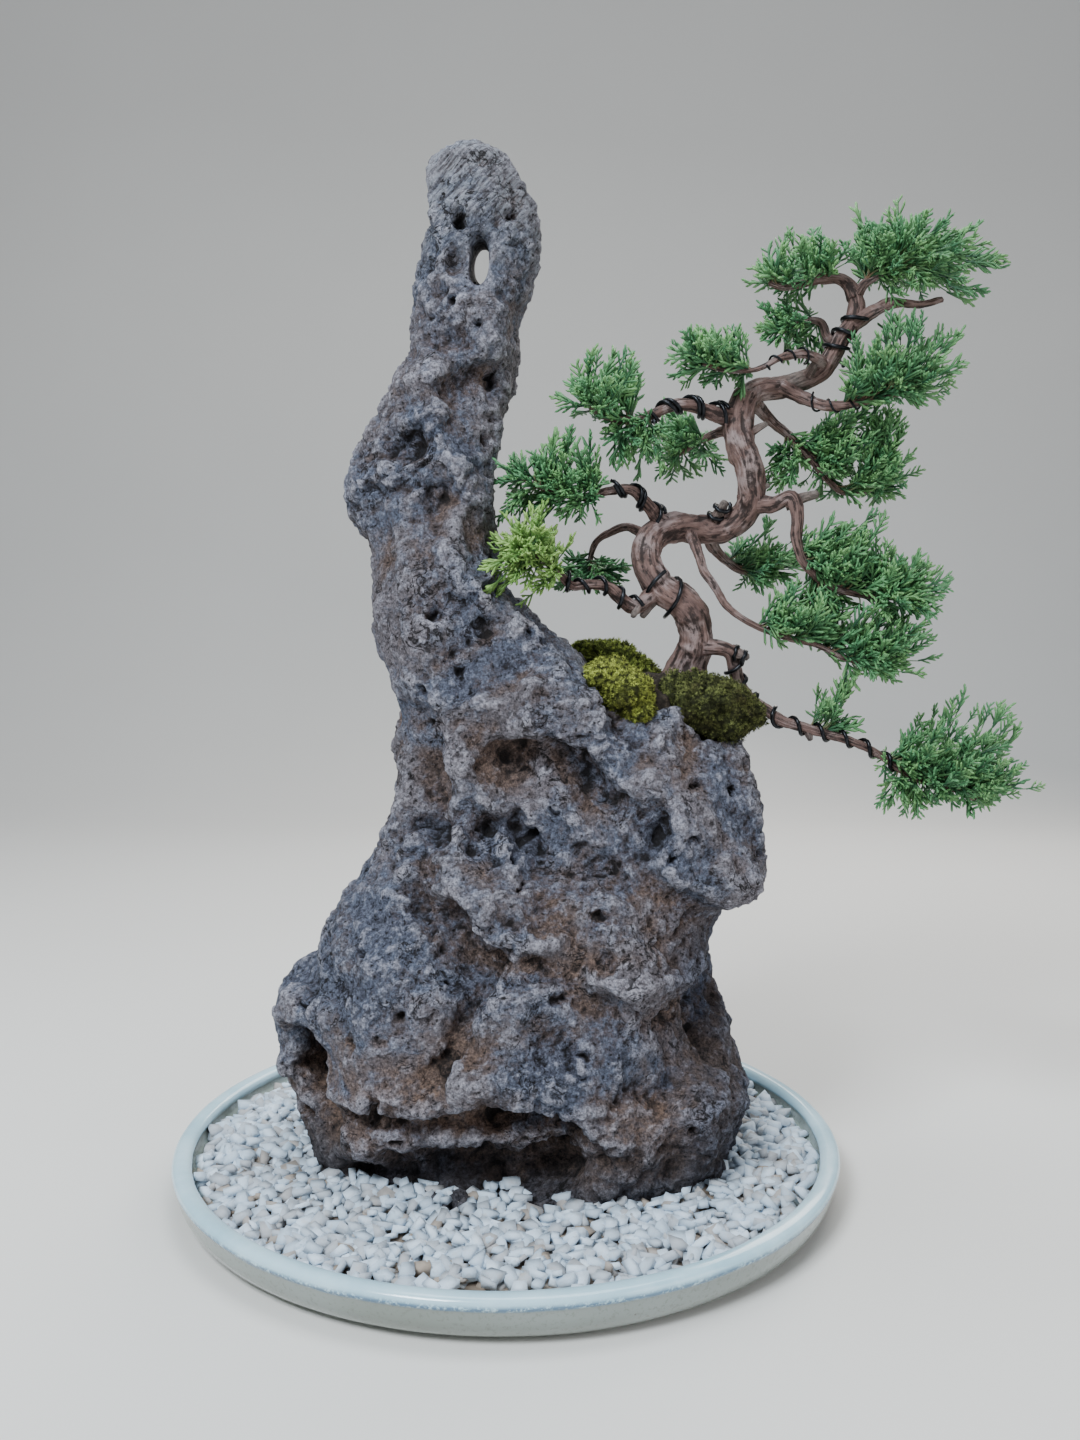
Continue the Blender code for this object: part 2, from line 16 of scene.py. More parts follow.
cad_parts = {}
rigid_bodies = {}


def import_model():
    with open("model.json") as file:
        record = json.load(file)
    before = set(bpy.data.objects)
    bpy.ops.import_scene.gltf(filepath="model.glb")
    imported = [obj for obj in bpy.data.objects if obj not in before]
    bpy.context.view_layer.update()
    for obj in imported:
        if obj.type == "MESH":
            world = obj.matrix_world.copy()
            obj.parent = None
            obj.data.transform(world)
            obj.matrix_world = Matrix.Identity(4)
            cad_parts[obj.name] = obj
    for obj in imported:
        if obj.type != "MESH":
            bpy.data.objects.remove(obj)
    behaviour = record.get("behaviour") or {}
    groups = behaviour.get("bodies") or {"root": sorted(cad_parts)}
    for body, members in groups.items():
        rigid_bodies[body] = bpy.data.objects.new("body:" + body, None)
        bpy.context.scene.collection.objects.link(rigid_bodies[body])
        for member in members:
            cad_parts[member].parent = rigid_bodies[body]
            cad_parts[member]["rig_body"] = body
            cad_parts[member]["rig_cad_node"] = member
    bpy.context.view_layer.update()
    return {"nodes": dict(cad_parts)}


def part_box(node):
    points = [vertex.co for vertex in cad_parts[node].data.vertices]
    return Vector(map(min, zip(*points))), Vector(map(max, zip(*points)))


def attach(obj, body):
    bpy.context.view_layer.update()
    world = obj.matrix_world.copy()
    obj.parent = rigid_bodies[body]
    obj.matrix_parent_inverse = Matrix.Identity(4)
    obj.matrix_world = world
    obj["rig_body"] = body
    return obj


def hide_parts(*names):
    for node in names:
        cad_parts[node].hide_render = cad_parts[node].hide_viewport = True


# The noise vectors start from the clock until they are seeded
NOISE_SEED = 7
noise.seed_set(NOISE_SEED)

for leftover in list(bpy.data.objects):
    bpy.data.objects.remove(leftover, do_unlink=True)
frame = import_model()
bpy.ops.object.select_all(action="DESELECT")

MM = 0.001
SEAT = Vector((0.090, 0.003, 0.2513))
BRANCH_SPACING, STUB_SPACING = 0.0011, 0.0009

# Trunk: its width in millimetres, and points from the seat with the share of that width there
TRUNK_WIDTH = 15.0
TRUNK = (
    ((-1, 1, -3), 1.62), ((-0.5, 1, 2), 1.36), ((1, 0, 7), 1.16), ((4, -3, 16), 1.10), ((1, -5, 29), 1.16),
    ((-6, -6, 37), 1.06), ((-15, -7, 43), 1.00), ((-20, -5, 52), 0.95), ((-21, -3, 61), 0.94),
    ((-17, 1, 69), 0.97), ((-7, 5, 73), 1.00), ((6, 7, 73), 0.98), ((17, 5, 73), 0.94),
    ((26, 1, 78), 0.94), ((30, -3, 86), 0.90), ((29, -6, 95), 0.87), ((27, -7, 104), 0.92),
    ((24, -6, 113), 0.98), ((23, -3, 123), 0.98), ((26, 1, 133), 0.90), ((33, 5, 140), 0.80),
    ((44, 7, 142), 0.74), ((55, 6, 145), 0.66), ((64, 3, 149), 0.61), ((69, 0, 156), 0.60),
    ((73, -2, 164), 0.56), ((78, -3, 171), 0.53), ((80, -3, 179), 0.51), ((79, -2, 185), 0.44),
)

# Branches: points from the seat, width at the root and at the end, and the stretch inside foliage
BRANCHES = {
    "low_left": (((-16, -7, 42), (-27, -15, 34), (-34, -18, 37), (-41, -20, 43), (-50, -23, 44),
                  (-57, -25, 43), (-61, -27, 45), (-66, -29, 50), (-73, -32, 56), (-80, -35, 60)), 7.4, 2.0),
    "inner": (((-18, 0, 67), (-25, 5, 72), (-31, 9, 74), (-39, 12, 71), (-45, 14, 67), (-48, 15, 59),
               (-48, 15, 52)), 5.0, 2.2),
    "mid_left": (((-9, 4, 73), (-15, -1, 77), (-21, -5, 83), (-29, -9, 90), (-38, -11, 90), (-47, -13, 88),
                  (-55, -14, 86), (-64, -15, 88), (-74, -17, 91), (-82, -18, 95)), 6.8, 1.8),
    "upper_left": (((23, -3, 126), (12, -8, 127), (1, -12, 130), (-8, -15, 130), (-16, -16, 127),
                    (-25, -18, 123), (-34, -19, 122), (-41, -19, 123), (-50, -21, 128)), 7.4, 2.6),
    "back_left": (((23, 0, 122), (16, 9, 121), (10, 15, 119), (5, 20, 117), (-3, 24, 112)), 5.6, 2.6),
    "high_left": (((66, 1, 152), (59, -7, 154), (53, -10, 155), (46, -12, 154), (40, -13, 152),
                   (33, -14, 148), (26, -15, 146), (14, -16, 146), (4, -17, 149)), 5.0, 1.6),
    "crown_low": (((72, -1, 161), (68, 5, 166), (66, 9, 174), (61, 11, 176), (56, 12, 175),
                   (48, 14, 171)), 4.8, 2.0),
    "crown_left": (((79, -2, 183), (76, -1, 190), (71, 0, 193), (64, 1, 193), (55, 1, 191), (46, 1, 189),
                    (38, 0, 191)), 6.2, 2.4),
    "crown_right": (((78, -3, 170), (86, -4, 175), (94, -5, 179), (101, -6, 180), (110, -7, 179),
                     (120, -8, 181)), 6.6, 3.0),
    "crown_top": (((79, -2, 183), (84, -2, 190), (92, -4, 195), (100, -6, 202)), 5.0, 2.0),
    "right_upper": (((46, 5, 142), (55, 0, 136), (63, -4, 132), (71, -7, 131), (80, -9, 132), (90, -11, 134),
                     (100, -13, 136)), 6.6, 2.6),
    "right_hang": (((30, 3, 137), (37, 11, 131), (45, 15, 125), (51, 17, 121), (58, 19, 115), (66, 20, 107),
                    (73, 19, 98), (80, 17, 92), (90, 18, 92), (98, 19, 95)), 6.0, 2.0),
    "right_mid": (((30, -2, 84), (40, -10, 83), (47, -14, 86), (50, -16, 78), (50, -16, 66), (53, -17, 56),
                   (59, -18, 49), (67, -19, 43), (77, -20, 40), (90, -21, 38), (98, -21, 38)), 8.0, 2.2),
    "back_right": (((8, 7, 73), (15, 17, 64), (22, 22, 58), (30, 26, 53), (38, 28, 52)), 6.6, 3.0),
    "low_right": (((1, 3, 70), (3, -8, 61), (6, -12, 51), (11, -14, 44), (16, -16, 35), (24, -18, 28),
                   (36, -20, 22), (48, -21, 18), (60, -22, 15), (72, -23, 9), (86, -23, 5)), 4.8, 2.0),
    "drop": (((3, -2, 14), (11, -8, 14), (19, -10, 12), (22, -6, 4), (25, -3, -4), (30, -5, -11),
              (38, -9, -17), (45, -15, -22), (55, -16, -25), (66, -17, -28), (77, -18, -31), (88, -19, -36),
              (98, -19, -43), (109, -20, -50), (120, -20, -53), (130, -20, -56), (138, -20, -60)), 8.4, 1.6),
}

# Dead stubs left by pruning: root and end from the seat, width
STUBS = (
    ((-14, -6, 42), (-24, -12, 29), 5.0), ((13, 4, 76), (17, -4, 85), 6.0),
    ((45, -11, 84), (60, -15, 88), 5.6), ((58, 3, 147), (61, -6, 153), 4.4),
    ((28, -4, 118), (36, -9, 122), 4.0), ((73, -16, 52), (75, -19, 56), 2.5),
    ((20, -9, 12), (28, -12, 9), 5.4), ((57, -15, -26), (58, -17, -31), 4.0),
    ((-26, -15, 35), (-29, -20, 29), 4.0), ((30, 0, 90), (38, -6, 93), 3.6),
)

# Wires: branch wound, start and end shares of its route, turns, first angle in turns, width
WIRES = {
    "low_left": ("low_left", 0.20, 0.72, 4.2, 0.10, 2.0),
    "mid_left": ("mid_left", 0.13, 0.46, 2.2, 0.00, 2.0),
    "mid_left_second": ("mid_left", 0.13, 0.46, 2.2, 0.17, 2.0),
    "upper_left": ("upper_left", 0.12, 0.62, 3.0, 0.00, 2.0),
    "upper_left_second": ("upper_left", 0.12, 0.62, 3.0, 0.17, 2.0),
    "high_left": ("high_left", 0.20, 0.56, 3.4, 0.00, 1.1),
    "right_upper": ("right_upper", 0.24, 0.70, 3.0, 0.00, 1.1),
    "drop": ("drop", 0.13, 0.80, 9.5, 0.00, 2.0),
    "trunk_low": ("trunk", 0.150, 0.215, 1.6, 0.20, 2.0),
    "trunk_high": ("trunk", 0.880, 0.960, 3.0, 0.20, 2.0),
}

# Foliage pads: branch that carries the pad, share of its route where twigs begin, how many twigs
PADS = {
    "low_left": ("low_left", 0.72, 30),
    "inner": ("inner", 0.62, 16),
    "mid_left": ("mid_left", 0.52, 40),
    "upper_left": ("upper_left", 0.66, 34),
    "upper_left_low": ("upper_left", 0.50, 16),
    "back_left": ("back_left", 0.50, 26),
    "high_left": ("high_left", 0.62, 30),
    "crown_low": ("crown_low", 0.45, 20),
    "crown_left": ("crown_left", 0.40, 36),
    "crown_right": ("crown_top", 0.20, 60),
    "right_upper": ("right_upper", 0.40, 46),
    "right_hang": ("right_hang", 0.45, 66),
    "right_mid": ("right_mid", 0.42, 34),
    "right_mid_low": ("right_mid", 0.70, 26),
    "back_right": ("back_right", 0.45, 34),
    "low_right": ("low_right", 0.52, 28),
    "low_right_end": ("low_right", 0.76, 34),
    "drop": ("drop", 0.72, 70),
    "drop_sprig": ("drop", 0.50, 7),
    "back_small": ("right_hang", 0.28, 12),
}
BRIGHT_PADS = ("low_left",)

# Sprays that close the gaps between pads: pad they go with, middle from the seat, half sizes, twigs
BRIDGES = (
    ("right_hang", (86, 10, 121), (24, 14, 17), 30), ("right_hang", (96, 6, 100), (14, 12, 9), 10),
    ("right_upper", (100, -6, 148), (22, 12, 20), 16), ("crown_right", (88, 0, 207), (14, 12, 9), 12),
    ("crown_right", (122, -4, 200), (22, 14, 12), 14), ("right_mid", (92, -20, 46), (18, 12, 10), 16),
    ("right_mid", (76, -18, 62), (14, 12, 14), 12), ("low_right", (78, -20, 20), (22, 12, 10), 22),
    ("right_mid", (70, -14, 32), (20, 12, 8), 14), ("mid_left", (-64, -16, 84), (24, 12, 7), 12),
    ("low_left", (-82, -34, 46), (14, 12, 10), 8), ("drop", (132, -20, -52), (34, 12, 12), 26),
)


# ---------------------------------------------------------------- finishes

COAT_ROUGHNESS = 0.06


class Value:
    """One output socket of a finish's nodes; sums and products of it add Math nodes."""

    def __init__(self, finish, socket):
        self.finish = finish
        self.socket = socket

    def maths(self, operation, *terms):
        return self.finish.node("ShaderNodeMath", {"operation": operation}, dict(enumerate(terms)))

    def __add__(self, other):
        return self.maths("ADD", self, other)

    def __sub__(self, other):
        return self.maths("SUBTRACT", self, other)

    def __rsub__(self, other):
        return self.maths("SUBTRACT", other, self)

    def __abs__(self):
        return self.maths("ABSOLUTE", self)

    def __mul__(self, other):
        return self.maths("MULTIPLY", self, other)

    def __pow__(self, other):
        return self.maths("POWER", self, other)

    __radd__ = __add__
    __rmul__ = __mul__


class Finish:
    """A material under construction round one Principled shader. Scales of its noises are per metre."""

    def __init__(self, name, specular=0.5, coat=0.0):
        self.material = bpy.data.materials.new(name)
        self.material.use_nodes = True
        self.tree = self.material.node_tree
        self.shader = self.tree.nodes["Principled BSDF"]
        self.shader.inputs["Specular IOR Level"].default_value = specular
        self.shader.inputs["Coat Weight"].default_value = coat
        self.shader.inputs["Coat Roughness"].default_value = COAT_ROUGHNESS if coat else 0.03

    def node(self, kind, settings=(), sockets=(), output=0):
        """Add a node with its settings and inputs, and give one of its outputs."""
        made = self.tree.nodes.new(kind)
        for name, value in dict(settings).items():
            setattr(made, name, value)
        for name, value in dict(sockets).items():
            self.feed(made.inputs[name], value)
        return Value(self, made.outputs[output])

    def feed(self, socket, value):
        if isinstance(value, Value):
            self.tree.links.new(value.socket, socket)
        elif isinstance(value, tuple) and len(value) == 3 and socket.type == "RGBA":
            socket.default_value = (*value, 1.0)
        else:
            socket.default_value = value

    def place(self):
        return self.node("ShaderNodeTexCoord", output="Object")

    def axis(self, letter, vector=None):
        """One part of a vector, or of the place on the object."""
        return self.node("ShaderNodeSeparateXYZ", {}, {0: vector or self.place()}, letter)

    def attribute(self, name):
        return self.node("ShaderNodeAttribute", {"attribute_name": name}, output="Fac")

    def noise(self, scale, detail=4.0, roughness=0.55, where=None, distortion=0.0):
        sockets = {"Vector": where or self.place(), "Scale": scale, "Detail": detail,
                   "Roughness": roughness, "Distortion": distortion}
        return self.node("ShaderNodeTexNoise", {}, sockets, "Fac")

    def cells(self, scale):
        """How far the place is from the nearest of many scattered points."""
        return self.node("ShaderNodeTexVoronoi", {}, {"Vector": self.place(), "Scale": scale}, "Distance")

    def ramp(self, value, *stops):
        """A colour for each value, between stops of (value, colour)."""
        made = self.node("ShaderNodeValToRGB", {}, {"Fac": value})
        elements = made.socket.node.color_ramp.elements
        while len(elements) < len(stops):
            elements.new(0.5)
        for element, (place, colour) in zip(elements, stops):
            element.position = place
            element.color = (*colour, 1.0)
        return made

    def mask(self, value, low, high):
        """0 below low, 1 above high; low may be the greater, which turns it round."""
        sockets = {"Value": value, "From Min": low, "From Max": high}
        return self.node("ShaderNodeMapRange", {"clamp": True}, sockets)

    def blend(self, value, low, high, first, second):
        """The first colour below low, the second above high."""
        return self.mix(self.mask(value, low, high), first, second)

    def mix(self, share, first, second, blend="MIX"):
        settings = {"data_type": "RGBA", "blend_type": blend, "clamp_factor": True}
        return self.node("ShaderNodeMix", settings, {0: share, 6: first, 7: second}, 2)

    def tinted(self, colour, tint):
        return self.mix(1.0, colour, tint, "MULTIPLY")

    def done(self, colour, roughness, height=None, distance=0.0, strength=1.0, metallic=None):
        """Link the colour, the roughness as (value, low, high, change, least), and the relief if any."""
        value, low, high, change, least = roughness
        self.feed(self.shader.inputs["Base Color"], colour)
        self.feed(self.shader.inputs["Roughness"], self.mask(value, low, high) * change + least)
        if height:
            bump = {"Height": height, "Distance": distance, "Strength": strength}
            self.feed(self.shader.inputs["Normal"], self.node("ShaderNodeBump", {}, bump, "Normal"))
        if metallic:
            self.feed(self.shader.inputs["Metallic"], metallic)
        return self.material


def rock_finish():
    """Grey volcanic rock: rusty hollows and blue-grey weathered faces, with painted lilac-grey highlight on
    the ridges, painted shade in the deepest hollows, cracks and pores, a painted cool shadow low on the
    right, and a foot that goes darker towards the bottom.
    """
    f = Finish("weathered_rock", 0.25)
    fine = f.attribute("fine")
    broad = f.attribute("broad")
    up = f.axis("Z", f.node("ShaderNodeNewGeometry", output="Normal"))
    height, across = f.axis("Z"), f.axis("X")
    patches = f.noise(13, 5, 0.65, distortion=0.6)
    warm = f.noise(24, 6, 0.65, distortion=0.4)
    grain = f.noise(700, 3, 0.75)
    flecks = f.noise(260, 5, 0.75)
    slant = {"Vector": f.place(), "Rotation": (0.0, -0.85, 0.0), "Scale": (9.0, 2.0, 1.0)}
    strokes = f.noise(620, 3, 0.6, f.node("ShaderNodeMapping", {"vector_type": "TEXTURE"}, slant), 0.4)
    stone = f.blend(warm, 0.36, 0.62, (0.100, 0.088, 0.092), (0.172, 0.155, 0.168))
    rust = f.blend(flecks, 0.35, 0.65, (0.062, 0.037, 0.026), (0.205, 0.130, 0.090))
    drift = warm - 0.5
    hollow = f.mask(broad + drift * 4.0 - up * 0.55, 0.25, -0.75)
    stone = f.mix(hollow * 0.74, stone, rust)
    left = f.mask(across + drift * 0.08, -0.005, -0.045) * f.mask(height + drift * 0.08, 0.155, 0.115)
    low = f.mask(height + (patches - 0.5) * 0.12, 0.086, 0.062)
    low = low * f.mask(height + drift * 0.06, 0.022, 0.034)
    stone = f.mix(low * f.mask(flecks * 0.6 + warm, 0.66, 0.86) * 0.72, stone, rust)
    blue = f.mask(patches + (flecks - 0.5) * 0.35 + left * 0.08 - low * 0.14, 0.46, 0.57)
    weathered = f.blend(flecks, 0.40, 0.62, (0.030, 0.044, 0.076), (0.130, 0.168, 0.240))
    stone = f.mix(blue * 0.72, stone, weathered)
    # Painted highlight: the ridges are lightened to lilac-grey as if lit.
    ridge_highlight = f.mask(fine * 0.45 + broad * 0.30 + (flecks - 0.5) * 3.4, 0.20, 1.40)
    stone = f.mix(ridge_highlight * 0.72, stone, (0.400, 0.388, 0.425))
    dim, bright = f.tinted(stone, (0.34, 0.33, 0.34)), f.tinted(stone, (1.55, 1.53, 1.56))
    stone = f.blend(grain, 0.34, 0.66, dim, bright)
    spire = f.mask(height + drift * 0.05, 0.435, 0.465)
    stone = f.mix(spire * f.mask(strokes, 0.44, 0.60) * 0.55, stone, (0.300, 0.315, 0.350))
    stone = f.mix(spire * f.mask(strokes, 0.52, 0.38) * 0.60, stone, (0.036, 0.036, 0.042))
    # Painted shade: the deepest hollows are turned near black.
    deep_shade = f.mask(fine * 0.7 + broad * 0.5 + (flecks - 0.5) * 3.0, -0.60, -2.10)
    stone = f.mix(deep_shade * 0.92, stone, (0.010, 0.008, 0.008))
    shaded = f.mask(across + drift * 0.05, 0.070, 0.090) * f.mask(height + drift * 0.05, 0.150, 0.125)
    stone = f.mix(shaded * 0.75, stone, f.tinted(stone, (0.42, 0.50, 0.62)))
    # Darker towards the bottom: the foot of the rock goes near black just above the gravel.
    foot = f.mask(height + drift * 0.05, 0.050, 0.022)
    darker_foot = f.blend(flecks, 0.4, 0.6, (0.014, 0.012, 0.013), (0.060, 0.048, 0.045))
    stone = f.mix(foot * 0.75, stone, darker_foot)
    # Painted shade: thin cracks are painted near black.
    lines = f.noise(85, 3, 0.6, distortion=0.9)
    crack = f.mask(abs(lines - 0.5) + (flecks - 0.5) * 0.10, 0.018, 0.004)
    crack = crack * f.mask(f.noise(33, 2, 0.5), 0.50, 0.58)
    stone = f.mix(crack * 0.85, stone, (0.012, 0.010, 0.010))
    # Painted shade: small pores are painted near black.
    pore = f.mask(f.cells(330) + (flecks - 0.5) * 1.6, 0.13, 0.05)
    stone = f.mix(pore * 0.8, stone, (0.014, 0.012, 0.012))
    relief = grain * 0.35 + flecks * 1.1 - pore * 0.6 - crack * 0.5 + spire * strokes * 0.5
    return f.done(stone, (flecks, 0.0, 1.0, 0.15, 0.80), relief, 0.0028)


def bark_finish():
    """Fibrous bark, reddish brown with grey worn patches and painted near-black shade in its furrows, and
    bare grey wood where it is dead.
    """
    f = Finish("juniper_bark", 0.3)
    along = {"Vector": f.node("ShaderNodeUVMap", {"uv_map": "wood"}), "Scale": (5.0, 1.0, 1.0)}
    fibres = f.noise(3.4, 8, 0.72, f.node("ShaderNodeMapping", {}, along), 0.5)
    flakes = f.noise(330, 4, 0.6)
    patch = f.noise(75, 4, 0.6)
    old = f.attribute("old")
    raised = f.attribute("raised")
    skin = f.blend(fibres, 0.35, 0.65, (0.058, 0.032, 0.028), (0.245, 0.150, 0.128))
    skin = f.mix(f.mask(patch + (fibres - 0.5) * 0.5, 0.51, 0.66) * 0.60, skin, (0.380, 0.300, 0.290))
    # Painted shade: where the bark's relief is low it goes near black.
    furrow_shade = f.mask(raised + (flakes - 0.5) * 2.2 + (fibres - 0.5) * 2.4, 0.02, -0.50)
    skin = f.mix(furrow_shade * 0.92, skin, (0.022, 0.013, 0.011))
    grey = f.blend(fibres + (flakes - 0.5) * 0.8, 0.3, 0.7, (0.050, 0.038, 0.034), (0.270, 0.225, 0.200))
    return f.done(f.mix(old, skin, grey), (flakes, 0.2, 0.8, 0.25, 0.55), fibres + flakes * 0.6, 0.0009)


def leaf_finish(name, young):
    """Scaly leafy cords, dark at their roots and light at their tips: paler growth at the tips, and painted
    shade towards the roots.
    """
    f = Finish(name, 0.35)
    tip, shade = f.attribute("tip"), f.attribute("shade")
    patches = f.noise(60, 2, 0.5)
    dark = f.mix(shade, (0.012, 0.056, 0.028), (0.040, 0.140, 0.060))
    light = f.mix(shade, (0.105, 0.310, 0.130), (0.235, 0.470, 0.165))
    if young:
        dark = f.mix(shade, (0.050, 0.135, 0.028), (0.100, 0.220, 0.045))
        light = f.mix(shade, (0.240, 0.450, 0.100), (0.420, 0.620, 0.180))
    # The dark root end is partly painted shade deep inside the pads.
    leaf = f.blend(tip + (patches - 0.5) * 0.5, 0.16, 0.95, dark, light)
    scales = f.noise(1500, 2, 0.5)
    leaf = f.mix(f.mask(scales, 0.7, 0.3) * 0.35, leaf, (0.015, 0.045, 0.018))
    return f.done(leaf, (scales, 0.0, 1.0, 0.2, 0.42), scales, 0.0003, 0.7)


def twig_finish():
    """Brown at the root of a twig, green where it carries leaves."""
    f = Finish("leafy_twig")
    mottle = f.noise(500, 3, 0.6)
    brown = f.blend(mottle, 0.35, 0.65, (0.120, 0.062, 0.036), (0.230, 0.130, 0.080))
    twig = f.blend(f.attribute("tip"), 0.25, 0.70, brown, (0.060, 0.150, 0.050))
    return f.done(twig, (mottle, 0.0, 1.0, 0.2, 0.55), mottle, 0.0003, 0.6)


def moss_finish(name, low, high, brown):
    """Granular moss: painted shade in the gaps and at the roots, bright tips, and dry brown patches of the
    given strength.
    """
    f = Finish(name, 0.2)
    patches = f.noise(70, 4, 0.6)
    grit = f.noise(900, 3, 0.7)
    dull, bright = (tuple(part * share for part in high) for share in (0.30, 1.35))
    colour = f.mix(f.attribute("shade"), dull, bright)
    # Painted shade: the dark low colour at the base of each tuft.
    colour = f.mix(f.mask(f.attribute("tip"), 0.0, 0.7) * 0.95, low, colour)
    colour = f.mix(f.mask(patches, 0.50, 0.64) * brown, colour, (0.045, 0.034, 0.014))
    # Painted shade: the gaps between the grains are painted near black.
    gap_shade = f.mask(f.cells(300) + (grit - 0.5) * 0.9, 0.46, 0.66)
    colour = f.mix(gap_shade * 0.80, colour, (0.008, 0.008, 0.003))
    return f.done(colour, (patches, 0.0, 1.0, 0.1, 0.85), patches, 0.0005, 0.5)


def soil_finish():
    f = Finish("dark_soil", 0.2)
    crumbs = f.noise(420, 5, 0.7)
    colour = f.ramp(crumbs, (0.30, (0.010, 0.008, 0.006)), (0.55, (0.036, 0.027, 0.020)),
                    (0.72, (0.110, 0.085, 0.060)))
    return f.done(colour, (crumbs, 0.0, 1.0, 0.1, 0.88), crumbs, 0.0015, 0.9)


def chip_finish():
    """White stone with a blue cast, turned brown and dark as painted shade where it lies deep among the
    chips.
    """
    f = Finish("crushed_stone", 0.35)
    shade = f.attribute("shade")
    grain = f.noise(520, 4, 0.6)
    stain = f.noise(160, 4, 0.6)
    # Low shades are brown painted shade for chips deep in the gaps; high ones are the white stone.
    colour = f.ramp(shade, (0.00, (0.17, 0.13, 0.10)), (0.18, (0.36, 0.29, 0.23)),
                    (0.30, (0.46, 0.47, 0.49)), (0.60, (0.50, 0.60, 0.70)), (1.00, (0.70, 0.80, 0.90)))
    colour = f.mix(f.mask(stain, 0.56, 0.74) * 0.40, colour, (0.50, 0.42, 0.33))
    colour = f.mix(f.mask(grain, 0.60, 0.80) * 0.3, colour, (0.55, 0.55, 0.57))
    return f.done(colour, (grain, 0.0, 1.0, 0.2, 0.6), grain, 0.0006, 0.6)


def glaze_finish(rim_edge):
    """Pale glaze that breaks blue along the rim's outer edge, with iron specks on the wall."""
    f = Finish("celadon_glaze", coat=0.5)
    x, y, z = (f.axis(letter) for letter in "XYZ")
    radius = (x * x + y * y) ** 0.5
    drift = f.noise(28, 4, 0.6)
    speck = f.noise(520, 3, 0.7)
    runs = f.noise(9, 3, 0.5)
    wall = f.blend(runs, 0.35, 0.65, (0.215, 0.240, 0.210), (0.295, 0.335, 0.320))
    wall = f.mix(f.mask(speck, 0.54, 0.66) * 0.45, wall, (0.130, 0.135, 0.115))
    rim = f.blend(drift, 0.35, 0.65, (0.380, 0.600, 0.700), (0.560, 0.780, 0.870))
    edge = z + (drift - 0.5) * 0.0022
    upper = f.mask(edge, rim_edge - 0.0006, rim_edge + 0.0006)
    colour = f.mix(upper, wall, rim)
    line = f.mask(edge, rim_edge - 0.0008, rim_edge) * f.mask(edge, rim_edge + 0.0028, rim_edge + 0.0012)
    line = line * f.mask(radius, 0.1600, 0.1615)
    colour = f.mix(line * f.mask(speck, 0.36, 0.50) * 0.88, colour, (0.040, 0.130, 0.250))
    inside = f.blend(drift, 0.3, 0.7, (0.330, 0.390, 0.345), (0.450, 0.520, 0.470))
    colour = f.blend(radius, 0.1552, 0.1545, colour, inside)
    iron = f.mask(f.cells(95) + (speck - 0.5) * 0.2, 0.055, 0.03)
    colour = f.mix(iron * (1 - upper) * 0.7, colour, (0.080, 0.060, 0.045))
    return f.done(colour, (speck, 0.3, 0.8, 0.10, 0.14), drift, 0.0008, 0.35)


def wire_finish():
    """Black anodised wire, scuffed here and there."""
    f = Finish("black_wire")
    scratch = f.noise(260, 4, 0.6)
    colour = f.ramp(scratch, (0.35, (0.010, 0.010, 0.012)), (0.60, (0.022, 0.023, 0.027)),
                    (0.85, (0.070, 0.072, 0.080)))
    return f.done(colour, (scratch, 0.3, 0.8, 0.2, 0.26), scratch, 0.0002, 0.3,
                  f.mask(scratch, 0.2, 0.5) * 0.2 + 0.6)


# ---------------------------------------------------------------- shared making

def placed(name, data):
    """A new object in the scene for a mesh, curve, lamp or camera."""
    made = bpy.data.objects.new(name, data)
    bpy.context.scene.collection.objects.link(made)
    return made


def piece(name, made, finish, node_slot, *nodes):
    """Turn a mesh or object into a finished piece that rides on the body and stands for its CAD nodes."""
    if isinstance(made, bpy.types.Mesh):
        made = placed(name, made)
    made.name = name
    made.data.materials.clear()
    made.data.materials.append(finish)
    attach(made, "root")
    if nodes:
        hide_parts(*nodes)


def mark_points(mesh, **labels):
    """Give each point named numbers for the finishes to read."""
    for label, values in labels.items():
        values = np.broadcast_to(np.asarray(values, np.float32), len(mesh.vertices))
        mesh.attributes.new(label, "FLOAT", "POINT").data.foreach_set("value", np.ascontiguousarray(values))


def mesh_of(name, points, faces, smooth=True, **labels):
    """A mesh from point and face arrays, with named numbers on its points."""
    mesh = bpy.data.meshes.new(name)
    if isinstance(faces, np.ndarray):
        sizes, corners = np.full(len(faces), faces.shape[1]), faces.reshape(-1)
    else:
        sizes, corners = np.array([len(face) for face in faces]), np.concatenate(faces)
    mesh.vertices.add(len(points))
    set_points(mesh, np.asarray(points))
    mesh.loops.add(len(corners))
    mesh.loops.foreach_set("vertex_index", corners.astype(np.int32))
    mesh.polygons.add(len(sizes))
    mesh.polygons.foreach_set("loop_start", np.concatenate([[0], np.cumsum(sizes)[:-1]]).astype(np.int32))
    mesh.update(calc_edges=True)
    mesh.validate()
    mark_points(mesh, **labels)
    if smooth:
        mesh.shade_smooth()
    return mesh


def add_faces(points, faces, own, own_faces):
    """Append one part's points and faces to the lists of a whole."""
    base = len(points)
    points.extend(own)
    faces.extend(tuple(i + base for i in face) for face in own_faces)


def select_only(made):
    bpy.ops.object.select_all(action="DESELECT")
    made.select_set(True)
    bpy.context.view_layer.objects.active = made


def edit_all(made, *steps):
    """Run mesh operators on everything in an object."""
    select_only(made)
    bpy.ops.object.mode_set(mode="EDIT")
    for step, settings in steps:
        bpy.ops.mesh.select_all(action="SELECT")
        getattr(bpy.ops.mesh, step)(**settings)
    bpy.ops.object.mode_set(mode="OBJECT")


